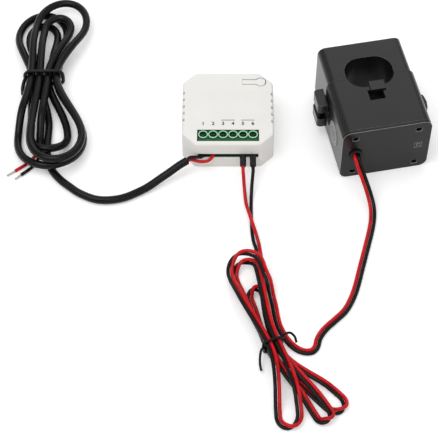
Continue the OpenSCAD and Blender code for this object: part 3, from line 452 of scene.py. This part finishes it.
def head(a):
    return np.array([math.sin(math.radians(a)), math.cos(math.radians(a))])


def side(h):
    return np.array([h[1], -h[0]])


def ease(t):
    t = np.clip(t, 0, 1)
    return t * t * (3 - 2 * t)


def stretch_line(a, ha, za, b, hb, zb, n, win, reach):
    a, b = np.array(a, float), np.array(b, float)
    arm = reach * np.linalg.norm(b - a)
    t = (np.arange(n) / n)[:, None]
    u = 1 - t
    q = u ** 3 * a + 3 * t * u ** 2 * (a + ha * arm) + 3 * t * t * u * (b - hb * arm) + t ** 3 * b
    return np.c_[q, za + (zb - za) * ease((t[:, 0] - win[0]) / (win[1] - win[0]))]


def fold_line(lobe, n, rise):
    x, y, r, turn, z0, zm, z1 = lobe
    h = head(turn)
    s = side(h)
    f = np.arange(n) / n
    a = (math.pi * f)[:, None]
    q = np.array([x, y]) + r * (FOLD_LONG * np.sin(a) * h - np.cos(a) * s)
    z = np.where(f < 0.5, z0 + (zm - z0) * ease(f / rise), z1 + (zm - z1) * ease((1 - f) / rise))
    return np.c_[q, z]


def fold_ends(lobe):
    c, s = np.array(lobe[:2], float), side(head(lobe[3]))
    return c - lobe[2] * s, c + lobe[2] * s


def bundle(start, lobes, tracks, ends, waist, tilt, up, down, rise, reach, nr, na):
    """Middle line of a bundled cord, and the turn of a twin lead about it at each point."""
    wh = head(tilt)
    ws = side(wh)
    out, turn = [], []
    p, h, z, way = np.array(start[:2], float), head(start[3]), start[2], start[4]
    for lobe, (tx, tz) in zip(lobes, tracks):
        first, last = fold_ends(lobe)
        w = np.array(waist) + ws * tx
        out += [stretch_line(p, h, z, w, wh * way, tz, nr, up, reach),
                stretch_line(w, wh * way, tz, first, head(lobe[3]), lobe[4], nr, down, reach),
                fold_line(lobe, na, rise)]
        roll = 180 * ease(np.arange(na) / na)
        turn += [np.full(2 * nr, 0.0 if way > 0 else 180.0), roll if way > 0 else 180 - roll]
        p, h, z, way = last, -head(lobe[3]), lobe[6], -way
    for e in ends:
        out.append(stretch_line(p, h, z, e[:2], head(e[3]), e[2], nr, e[4:6], reach))
        turn.append(np.full(nr, 0.0 if way > 0 else 180.0))
        p, h, z = np.array(e[:2], float), head(e[3]), e[2]
    out.append(np.array([ends[-1][:3]], float))
    turn.append(np.full(1, 0.0 if way > 0 else 180.0))
    return np.vstack(out), np.concatenate(turn)


def beside(line, turn, off):
    """One wire of the twin lead, beside its middle line."""
    t = np.gradient(line[:, :2], axis=0)
    t /= np.linalg.norm(t, axis=1)[:, None]
    a = np.radians(np.broadcast_to(turn, len(line)))[:, None]
    across = np.c_[t[:, 1], -t[:, 0], np.zeros(len(line))]
    return line + off * (np.cos(a) * across + np.sin(a) * np.array([0, 0, 1.0]))


def eased_route(points, n=6):
    """A smooth line through given points."""
    p = np.array(points, float)
    q = np.vstack([2 * p[0] - p[1], p, 2 * p[-1] - p[-2]])
    out = []
    for i in range(1, len(q) - 2):
        a, b, c, d = q[i - 1], q[i], q[i + 1], q[i + 2]
        for k in range(n):
            t = k / n
            out.append(0.5 * (2 * b + (c - a) * t + (2 * a - 5 * b + 4 * c - d) * t * t
                              + (3 * b - a - 3 * c + d) * t ** 3))
    out.append(p[-1])
    return np.array(out)


FOLD_LONG = 1.25
MR, ML = 2.05, 6.65
MAINS_BUNDLE = dict(
    start=(-93.6, 0, MR, 0, 1),
    lobes=[(-100.5, 63, 7.6, 2, MR, MR, MR), (-92.95, -6.2, 9.5, 180, MR, MR + 5, MR + 2),
           (-101, 64.2, 13, 5, MR, MR, MR), (-92.2, -7.8, 17, 180, MR, MR + 5, MR),
           (-90.6, 69.3, 13.2, 12, ML, ML, ML), (-88.6, -11.8, 13.4, 178, ML + 3.4, ML + 5.2, ML + 3.4),
           (-92.5, 65.7, 7, 6, ML, ML, ML)],
    tracks=[(-2.2, MR + 2.4), (2.2, MR + 2.4), (-6.6, MR + 2.4), (6.6, MR + 2.4), (-6.6, ML + 2.4),
            (6.6, ML + 2.4), (-2.2, ML + 2.4)],
    ends=[(-95.5, 31, ML + 2.4, 180, 0, 0.45), (-97.75, -12.5, 2.45, 180, 0.6, 0.92)],
    waist=(-97.7, 31), tilt=0, up=(0, 0.45), down=(0.55, 1), rise=0.45, reach=0.3)
MAINS_RUN = [(-20.8, -26.9, 8.4), (-25, -29.3, 7.3), (-30, -32.5, 5.6), (-35, -35.6, 4),
             (-39.8, -38.9, 2.8), (-44.7, -41.7, MR), (-52.1, -45.6, MR), (-59.6, -47.3, MR),
             (-67.2, -46.8, MR), (-75, -43.2, MR), (-80.3, -39.1, MR), (-85.7, -34.2, MR),
             (-90, -28.4, MR), (-92.6, -21.6, MR), (-93.6, -14, MR), (-93.6, -5, MR), (-93.6, 0, MR)]
CORE_BLACK = [(-12.7, -19.7, 8.9), (-12.7, -23.1, 8.9), (-13.3, -25, 9.1), (-15.6, -25.7, 9.6),
              (-19.1, -25.9, 9.75), (-20.8, -26.9, 9.3)]
CORE_RED = [(-7.62, -19.7, 8.9), (-7.62, -23.1, 8.9), (-8.3, -25.3, 8.6), (-10.6, -26.9, 8),
            (-14.5, -26.9, 7.6), (-19.1, -25.9, 7.95), (-20.8, -26.9, 7.5)]
TAIL_RED = [(-97.75, -12.5, 3.33), (-97.8, -14, 3.3), (-98, -15.6, 3.1), (-98.9, -17.8, 2.4),
            (-100.2, -19.5, 1.6), (-102, -21.5, 1), (-104.4, -23.9, 0.9), (-109.3, -27.8, 0.9)]
TAIL_BLACK = [(-97.75, -12.5, 1.57), (-97.7, -14, 1.3), (-97.6, -15.5, 1), (-97.6, -18, 0.9),
              (-98.4, -21.3, 0.9), (-99.6, -23.8, 0.9), (-101.5, -26.2, 0.9), (-106, -30.4, 0.9)]
LR = 0.95
L0, L1, L2, L3 = (LR + 2.4 * k for k in range(4))
LEAD_BUNDLE = dict(
    start=(14.8, -78, L0, 172, -1),
    lobes=[(48.3, -163.2, 4.6, 137, L0, 1.95, L0), (13.4, -106, 3, -16, L0, L1 + 1, L1 + 1.4),
           (43.2, -170.3, 3.3, 149, L1, L1 + 0.7, L0 + 0.3), (8.7, -93.4, 5.5, -12, L0, L1 + 0.8, L2 + 1.5),
           (27.4, -170.6, 4.9, 176, L0 + 2.2, 1.95, L0), (8.6, -92.8, 7.8, -12, L1, L2 + 1.3, L3 + 0.9)],
    tracks=[(2.1, L0 + 1.6), (-2.1, L0 + 1.6), (2.1, L1 + 1.6), (-2.1, L1 + 1.6), (2.1, L2 + 1.6),
            (-2.1, L2 + 1.6)],
    ends=[(21.2, -106.5, L0 + 0.5, 166, 0.55, 1), (24.6, -123.5, L0, 158, 0, 1),
          (37, -136.3, L0, 92, 0, 1)],
    waist=(20.6, -134.3), tilt=-22, up=(0, 0.35), down=(0.72, 1), rise=0.5, reach=0.34)
LEAD_RED_RUN = [(7.62, -31.2, 8.9), (7.62, -33.7, 8.6), (7.9, -36.5, 6.8), (8.2, -40.5, 4), (8.7, -45.5, 1.6),
                (9.2, -50, 1.6), (10.2, -55, 2.9), (11.4, -60, 3.2), (12.9, -65.5, 2.9), (14.1, -70, 2.4),
                (15.1, -73.5, 1.2), (15.47, -75.9, LR), (15.74, -77.87, LR)]
LEAD_BLACK_RUN = [(12.7, -31.2, 8.9), (12.7, -33.7, 8.6), (12.4, -36.5, 6.8), (12, -40.5, 4),
                  (11.7, -45.5, 1.4), (11.6, -50, LR), (11.6, -56, LR), (11.7, -62, LR), (11.9, -67, LR),
                  (12.5, -72, LR), (13.57, -76.15, LR), (13.86, -78.13, LR)]
LEAD_OUT = [(37, -136.3, LR), (39.4, -135.8, LR), (41.4, -133.4, LR), (42.8, -128.5, LR), (45.9, -123.6, LR),
            (50.8, -118.6, LR), (55.6, -113.6, LR), (59, -107.6, LR), (61.9, -100, LR), (65, -88.5, LR),
            (68.2, -76.5, LR), (71.4, -64, LR), (72.6, -55.5, 1.4), (72, -49, 3.4), (69.6, -42.4, 8),
            (66.8, -37.4, 13.4), (65.4, -34.2, 16.6), (64.614, -31.706, 17.5), (63.634, -26.803, 17.5)]


def cord_curve(name, points_mm, across, finish, rounds=6):
    curve = bpy.data.curves.new(name, "CURVE")
    curve.dimensions = "3D"
    line = curve.splines.new("POLY")
    pts = np.array(points_mm) * MM
    line.points.add(len(pts) - 1)
    line.points.foreach_set("co", np.c_[pts, np.ones(len(pts))].astype("f").ravel())
    line.use_smooth = True
    curve.bevel_depth = across / 2
    curve.bevel_resolution = rounds
    curve.use_fill_caps = True
    obj = add_object(name, curve, finish)
    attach(obj, "base")
    return obj


def tie_path(half_w, z0, z1, r, corners, drift):
    """Points of a tie round a bundle, corner by corner, in the bundle's own frame."""
    mid, up = (z0 + z1) / 2, (z1 - z0) / 2 - r
    out = []
    for j, c in enumerate(corners):
        for k in range(4):
            a = math.radians(180 - 90 * c - 30 * k)
            out.append(((-1, 1, 1, -1)[c] * (half_w - r) + r * math.cos(a),
                        drift * ((4 * j + k + 1) / (4 * len(corners) + 1) - 0.5),
                        mid + (1, 1, -1, -1)[c] * up + r * math.sin(a)))
    return out


def set_down(points, at, turn):
    """Points of a bundle's own frame, turned and moved to the bundle."""
    c, s = math.cos(math.radians(turn)), math.sin(math.radians(turn))
    return [(at[0] + x * c - y * s, at[1] + x * s + y * c, z) for x, y, z in points]


MAINS_TIE = set_down([(-11.2, -8.4, 2), (-11.4, -5.4, 3.8), (-10.8, -2.6, 5.6), (-10, -1.15, 7.2)]
                     + tie_path(10, 1.25, 12.25, 3.5, (0, 1, 2, 3), 2.3) + [(-10, 1.15, 6.75)],
                     (-97.7, 31), 0)
LEAD_TIE = ([(31.8, -133.9, 5.6), (31, -131.5, 7), (29, -130.3, 8.4), (26.9, -130.8, 8.8),
             (25.4, -131.3, 7.8)]
            + set_down([(4.75, 1.035, 6.15)] + tie_path(4.75, 0.8, 9.1, 2, (2, 3, 0, 1, 2, 3), -2.07)
                       + [(-4.75, -1.035, 4.95)], (20.6, -134.3), 22)
            + [(16.2, -137.3, 6.1), (15.2, -138.3, 6.2), (14.6, -140.9, 4.4), (14.6, -144.1, 2.6),
               (15.2, -146.9, 1.5)])


class MonitorPiece:
    """What the piece operators share."""

    bl_options = {"REGISTER", "UNDO"}

    @property
    def sizes(self):
        return bpy.context.scene.monitor_sizes


class MONITOR_OT_stage(MonitorPiece, bpy.types.Operator):
    """Pale floor, soft studio light and the camera"""

    bl_idname = "monitor.stage"
    bl_label = "Stage"

    def execute(self, context):
        scene = context.scene
        scene.view_settings.view_transform = "Standard"
        self.camera(scene)
        self.floor()
        self.lights(scene)
        return {"FINISHED"}

    def camera(self, scene):
        camera = bpy.data.objects.new("camera", bpy.data.cameras.new("camera"))
        scene.collection.objects.link(camera)
        camera.location = (-0.0046, -0.5146, 0.6207)
        camera.rotation_euler = (math.radians(36.3), 0, 0)
        camera.data.lens = 125.3
        camera.data.sensor_width = 36
        camera.data.clip_start = 0.01
        scene.camera = camera

    def floor(self):
        """Pale floor that glows a little where it is seen or mirrored."""
        mesh = bpy.data.meshes.new("floor")
        corners = [(x * FLOOR_HALF, y * FLOOR_HALF, 0) for x, y in ((-1, -1), (1, -1), (1, 1), (-1, 1))]
        mesh.from_pydata(corners, [], [(0, 1, 2, 3)])
        mat, tree, shader = new_finish("pale_floor")
        shader.inputs["Base Color"].default_value = (0.9, 0.9, 0.9, 1)
        shader.inputs["Roughness"].default_value = 0.9
        shader.inputs["Specular IOR Level"].default_value = 0.0
        rays = tree.nodes.new("ShaderNodeLightPath")
        seen = tree.nodes.new("ShaderNodeMath")
        seen.operation = "MAXIMUM"
        tree.links.new(rays.outputs["Is Camera Ray"], seen.inputs[0])
        tree.links.new(rays.outputs["Is Glossy Ray"], seen.inputs[1])
        glow = tree.nodes.new("ShaderNodeMath")
        glow.operation = "MULTIPLY"
        glow.inputs[1].default_value = FLOOR_GLOW
        tree.links.new(seen.outputs[0], glow.inputs[0])
        shader.inputs["Emission Color"].default_value = (1, 1, 1, 1)
        tree.links.new(glow.outputs[0], shader.inputs["Emission Strength"])
        add_object("floor", mesh, mat)

    def lights(self, scene):
        world = bpy.data.worlds.new("studio")
        scene.world = world
        world.use_nodes = True
        sky = world.node_tree.nodes["Background"]
        sky.inputs["Color"].default_value = (1, 1, 1, 1)
        sky.inputs["Strength"].default_value = WORLD_LIGHT
        for name, at, width, height, power in LAMPS:
            lamp = bpy.data.lights.new(name, "AREA")
            lamp.energy = power
            lamp.shape = "RECTANGLE"
            lamp.size = width
            lamp.size_y = height
            obj = bpy.data.objects.new(name, lamp)
            scene.collection.objects.link(obj)
            obj.location = at
            obj.rotation_euler = (Vector(LAMPS_AIM) - Vector(at)).to_track_quat("-Z", "Y").to_euler()


class MONITOR_OT_cords(MonitorPiece, bpy.types.Operator):
    """Mains cable with its cores, tie and tips, and the twin lead with its sleeves and tie"""

    bl_idname = "monitor.cords"
    bl_label = "Cables"

    def execute(self, context):
        s = self.sizes
        black, red = finish_of("cable_black"), finish_of("cable_red")
        hank, _ = bundle(**MAINS_BUNDLE, nr=10, na=20)
        line = np.vstack([eased_route(MAINS_RUN), hank[1:]])
        mains = cord_curve("mains_cable", line, s.mains_across, black, rounds=8)
        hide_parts("mains_cable_run", "mains_cable_hank")
        for name, route, finish, slot in (("mains_core_black", CORE_BLACK, black, "cable_black"),
                                          ("mains_core_red", CORE_RED, red, "cable_red"),
                                          ("mains_tail_red", TAIL_RED, red, "cable_red"),
                                          ("mains_tail_black", TAIL_BLACK, black, "cable_black")):
            core = cord_curve("smooth_" + name, eased_route(route), s.core_across, finish)
            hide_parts(name)
        tie = self.tie("mains_tie", MAINS_TIE, s.mains_tie_across)
        tips = self.strand_tips()
        middle, turn = bundle(**LEAD_BUNDLE, nr=10, na=20)
        out = eased_route(LEAD_OUT)
        sleeves = self.sleeves()
        lead_tie = self.tie("lead_tie", LEAD_TIE, s.lead_tie_across)
        for name, run, off, finish, slot, with_pieces in (
                ("red", LEAD_RED_RUN, LR, red, "cable_red", [sleeves, lead_tie]),
                ("black", LEAD_BLACK_RUN, -LR, black, "cable_black", [])):
            line = np.vstack([eased_route(run), beside(middle, turn, off)[1:], beside(out, 180, off)[1:]])
            lead = cord_curve("lead_" + name, line, s.lead_across, finish)
            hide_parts(f"lead_{name}_run", f"lead_{name}_hank", f"lead_{name}_end")
        return {"FINISHED"}

    def tie(self, node, route, across):
        piece = cord_curve("smooth_" + node, eased_route(route, 5), across, finish_of("cable_black"))
        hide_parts(node)
        return piece

    def strand_tips(self):
        """Twisted tinned strands at the four bare ends."""
        parts = []
        for route, long in ((TAIL_RED, 5.0), (TAIL_BLACK, 4.0), (CORE_BLACK[::-1], 3.6),
                            (CORE_RED[::-1], 3.6)):
            a, b = Vector(route[-2]), Vector(route[-1])
            along = b - a
            along.z = 0
            along.normalize()
            across = Vector((-along.y, along.x, 0))
            for k in range(7):
                ring = 0.0 if k == 6 else 0.36
                pts = []
                for i in range(13):
                    f = i / 12
                    w = 2 * math.pi * (k / 6 + 0.55 * f)
                    off = across * math.cos(w) + Vector((0, 0, 1)) * math.sin(w)
                    pts.append(b + along * long * f + off * ring)
                parts.append(self.strand(pts, 0.185))
        verts, faces = joined(parts)
        tips = mesh_piece("twisted_tips", [v * MM for v in verts], faces, finish_of("tinned_copper"), "base")
        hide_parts("tinned_tips")
        return tips

    def strand(self, pts, r, sides=6):
        """Vertices and faces of one thin wire along a line of points."""
        verts, faces = [], []
        n = len(pts)
        for i, p in enumerate(pts):
            t = (pts[min(n - 1, i + 1)] - pts[max(0, i - 1)]).normalized()
            u = t.cross(Vector((0, 0, 1))).normalized()
            v = u.cross(t)
            for k in range(sides):
                a = 2 * math.pi * k / sides
                verts.append(p + (u * math.cos(a) + v * math.sin(a)) * r)
        for i in range(n - 1):
            for k in range(sides):
                j = (k + 1) % sides
                faces.append((i * sides + k, i * sides + j, (i + 1) * sides + j, (i + 1) * sides + k))
        faces += [tuple(range(sides)), tuple((n - 1) * sides + k for k in range(sides))]
        return verts, faces

    def sleeves(self):
        """Shrunk sleeves and pins where the twin lead meets the terminals."""
        parts = []
        for k in (4, 5):
            at = Vector((TERM_X[k], SLEEVE_Y, WIRE_Z)) * MM
            sleeve = [(0, 1.35), (0.12, 1.55), (0.4, 1.62), (2.2, 1.6), (4.0, 1.63), (5.5, 1.6), (5.95, 1.5),
                      (6.15, 1.3), (6.3, 0.95)]
            parts.append(turned(at, (0, -1, 0), [(d * MM, r * MM) for d, r in sleeve]))
            pin = [(-0.3 * MM, 0.6 * MM), (8.6 * MM, 0.6 * MM)]
            parts.append(turned(at + Vector((0, 0.2 * MM, 0)), (0, 1, 0), pin, 16))
        verts, faces = joined(parts)
        piece = mesh_piece("shrunk_sleeves", verts, faces, finish_of("sleeve_black"), "base")
        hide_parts("ferrules")
        return piece


class MONITOR_OT_case(MonitorPiece, bpy.types.Operator):
    """Case halves, button and the printed terminal numbers"""

    bl_idname = "monitor.case"
    bl_label = "Case"

    def execute(self, context):
        white = finish_of("case_plastic")
        dressed("top_cover", self.sizes.case_edge, white)
        dressed("bottom_case", self.sizes.case_edge, white)
        dressed("button_tongue", self.sizes.case_edge, white)
        self.print_numbers()
        return {"FINISHED"}

    def print_numbers(self):
        """Plain numbers at the terminals, and a line over each of the last two pairs."""
        bm = bmesh.new()
        for k, x in enumerate(TERM_X):
            text = bpy.data.curves.new("digit", "FONT")
            text.body = str(k + 1)
            text.size = self.sizes.digit_height
            text.align_x = "CENTER"
            text.extrude = 0.00001
            text.offset = 0.00009
            obj = bpy.data.objects.new("digit", text)
            bpy.context.scene.collection.objects.link(obj)
            shown = obj.evaluated_get(bpy.context.evaluated_depsgraph_get())
            mesh = bpy.data.meshes.new_from_object(shown)
            mesh.transform(Matrix.Translation((x * MM, DIGITS_Y * MM, (CASE_TOP + PRINT_LIFT) * MM)))
            bm.from_mesh(mesh)
            bpy.data.objects.remove(obj)
        for x in LINE_X:
            made = bmesh.ops.create_cube(bm, size=1)
            place = (Matrix.Translation((x * MM, LINES_Y * MM, (CASE_TOP + PRINT_LIFT) * MM))
                     @ Matrix.Diagonal((LINE_LONG * MM, LINE_WIDE * MM, PRINT_THICK * MM, 1)))
            bmesh.ops.transform(bm, matrix=place, verts=made["verts"])
        mesh = bpy.data.meshes.new("terminal_numbers")
        bm.to_mesh(mesh)
        bm.free()
        ink = add_object("terminal_numbers", mesh, finish_of("print_ink"))
        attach(ink, "base")


class MONITOR_OT_terminals(MonitorPiece, bpy.types.Operator):
    """Terminal strip with its screws, pale rings of painted highlight on the well rims, and a green sheet
    standing in for the shade behind the wells
    """

    bl_idname = "monitor.terminals"
    bl_label = "Terminals"

    def execute(self, context):
        dressed("terminal_block", self.sizes.strip_edge, finish_of("terminal_green"))
        for k in range(1, TERMINALS + 1):
            dressed(f"terminal_screw_{k}", self.sizes.metal_edge, finish_of("screw_steel"))
        self.rim_highlight_rings()
        self.shade_behind_wells()
        return {"FINISHED"}

    def shade_behind_wells(self):
        """Thin green sheet behind the wells, in front of the cut edge of the case: it stands in for the shade
        at the window's far edge, where the case's pale wall would show.
        """
        (left, _, _), (right, _, _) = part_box("terminal_block")
        wide = right - left + 0.0006
        thick = 0.0002
        low, high = STRIP_TOP * MM, (CASE_TOP - 0.25) * MM
        place = (Matrix.Translation(((left + right) / 2, WINDOW_BACK * MM - 0.7 * thick, (low + high) / 2))
                 @ Matrix.Diagonal((wide, thick, high - low, 1)))
        bm = bmesh.new()
        bmesh.ops.create_cube(bm, size=1, matrix=place)
        mesh = bpy.data.meshes.new("window_shade_sheet")
        bm.to_mesh(mesh)
        bm.free()
        wall = add_object("window_shade_sheet", mesh, finish_of("terminal_green"))
        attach(wall, "base")

    def rim_highlight_rings(self):
        """Pale rings on the rims of the six wells, a painted highlight, laid out in a row by a node tree."""
        tree = bpy.data.node_groups.new("rim_row", "GeometryNodeTree")
        sockets = {}
        for name, kind in (("Count", "NodeSocketInt"), ("Spacing", "NodeSocketFloat"),
                           ("Start", "NodeSocketVector"), ("Radius", "NodeSocketFloat"),
                           ("Wire", "NodeSocketFloat")):
            sockets[name] = tree.interface.new_socket(name, in_out="INPUT", socket_type=kind).identifier
        tree.interface.new_socket("Geometry", in_out="OUTPUT", socket_type="NodeSocketGeometry")
        add, link = tree.nodes.new, tree.links.new
        source, sink = add("NodeGroupInput"), add("NodeGroupOutput")
        row, gap = add("GeometryNodeMeshLine"), add("ShaderNodeCombineXYZ")
        ring, wire = add("GeometryNodeCurvePrimitiveCircle"), add("GeometryNodeCurvePrimitiveCircle")
        ring.inputs["Resolution"].default_value = 40
        wire.inputs["Resolution"].default_value = 8
        tube, place = add("GeometryNodeCurveToMesh"), add("GeometryNodeInstanceOnPoints")
        real, paint = add("GeometryNodeRealizeInstances"), add("GeometryNodeSetMaterial")
        paint.inputs["Material"].default_value = finish_of("well_rim_highlight")
        link(source.outputs["Count"], row.inputs["Count"])
        link(source.outputs["Start"], row.inputs["Start Location"])
        link(source.outputs["Spacing"], gap.inputs["X"])
        link(gap.outputs["Vector"], row.inputs["Offset"])
        link(source.outputs["Radius"], ring.inputs["Radius"])
        link(source.outputs["Wire"], wire.inputs["Radius"])
        link(ring.outputs["Curve"], tube.inputs["Curve"])
        link(wire.outputs["Curve"], tube.inputs["Profile Curve"])
        link(row.outputs["Mesh"], place.inputs["Points"])
        link(tube.outputs["Mesh"], place.inputs["Instance"])
        link(place.outputs["Instances"], real.inputs["Geometry"])
        link(real.outputs["Geometry"], paint.inputs["Geometry"])
        link(paint.outputs["Geometry"], sink.inputs["Geometry"])
        holder = add_object("rim_holder", bpy.data.meshes.new("rim_holder"), finish_of("well_rim_highlight"))
        mod = holder.modifiers.new("rims", "NODES")
        mod.node_group = tree
        mod[sockets["Count"]] = TERMINALS
        mod[sockets["Spacing"]] = PITCH * MM
        mod[sockets["Start"]] = (TERM_X[0] * MM, TERM_Y * MM, RIM_Z * MM)
        mod[sockets["Radius"]] = RIM_RADIUS * MM
        mod[sockets["Wire"]] = self.sizes.rim_wire
        rims = baked(holder, "rim_highlight_rings", finish_of("well_rim_highlight"))
        smooth_by_angle(rims.data, 50)
        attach(rims, "base")


class MONITOR_OT_inside(MonitorPiece, bpy.types.Operator):
    """Finishes of the solids that stay as they are, such as the board, the core and the coil"""

    bl_idname = "monitor.inside"
    bl_label = "Inner parts"

    def execute(self, context):
        for node, obj in frame["nodes"].items():
            for holder in obj.material_slots:
                slot = NODE_SLOT[node]
                holder.material = finish_of("sleeve_black" if slot == "ferrule_sleeve" else slot)
        return {"FINISHED"}


class MONITOR_OT_clamp(MonitorPiece, bpy.types.Operator):
    """Clamp shells, latch, hinge pin, tab, grommet and label"""

    bl_idname = "monitor.clamp"
    bl_label = "Clamp"

    def execute(self, context):
        s = self.sizes
        # The shells and the latch take a paler finish on their rounded edges: painted highlight.
        highlight_finish = finish_of("painted_edge_highlight")
        dressed("clamp_body", s.clamp_edge, finish_of("clamp_plastic"), edge_finish=highlight_finish)
        dressed("clamp_jaw", s.clamp_edge, finish_of("clamp_plastic"), edge_finish=highlight_finish)
        dressed("clamp_end_plate", s.plate_edge, finish_of("plate_plastic"), edge_finish=highlight_finish)
        dressed("latch_lever", s.latch_edge, finish_of("latch_plastic"), segments=3, edge_finish=highlight_finish)
        dressed("cable_finger", s.tab_edge, finish_of("finger_plastic"))
        dressed("lead_grommet", s.grommet_edge, finish_of("grommet_rubber"))
        dressed("hinge_pin", s.metal_edge, finish_of("screw_steel"))
        dressed("latch_pin", s.metal_edge, finish_of("screw_steel"))
        dressed("side_label", s.label_edge, finish_of("label_film"))
        return {"FINISHED"}


class MONITOR_PT_panel(bpy.types.Panel):
    """Sidebar panel of the monitor"""

    bl_idname = "MONITOR_PT_panel"
    bl_label = "Energy Monitor"
    bl_space_type = "VIEW_3D"
    bl_region_type = "UI"
    bl_category = "Monitor"

    def draw(self, context):
        for group in (context.scene.monitor_sizes, context.scene.monitor_colours):
            box = self.layout.box()
            for key in group.bl_rna.properties.keys():
                if key not in {"rna_type", "name"}:
                    box.prop(group, key)
        for operator in OPERATORS:
            self.layout.operator(operator.bl_idname)


OPERATORS = (MONITOR_OT_stage, MONITOR_OT_cords, MONITOR_OT_case, MONITOR_OT_terminals, MONITOR_OT_clamp,
             MONITOR_OT_inside)
CLASSES = (MonitorSizes, MonitorColours, *OPERATORS, MONITOR_PT_panel)


def register():
    for cls in CLASSES:
        bpy.utils.register_class(cls)
    bpy.types.Scene.monitor_sizes = PointerProperty(type=MonitorSizes)
    bpy.types.Scene.monitor_colours = PointerProperty(type=MonitorColours)


def unregister():
    del bpy.types.Scene.monitor_colours
    del bpy.types.Scene.monitor_sizes
    for cls in reversed(CLASSES):
        bpy.utils.unregister_class(cls)


def main():
    register()
    bpy.ops.monitor.stage()
    bpy.ops.monitor.cords()
    bpy.ops.monitor.case()
    bpy.ops.monitor.terminals()
    bpy.ops.monitor.clamp()
    bpy.ops.monitor.inside()


if __name__ == "__main__":
    main()
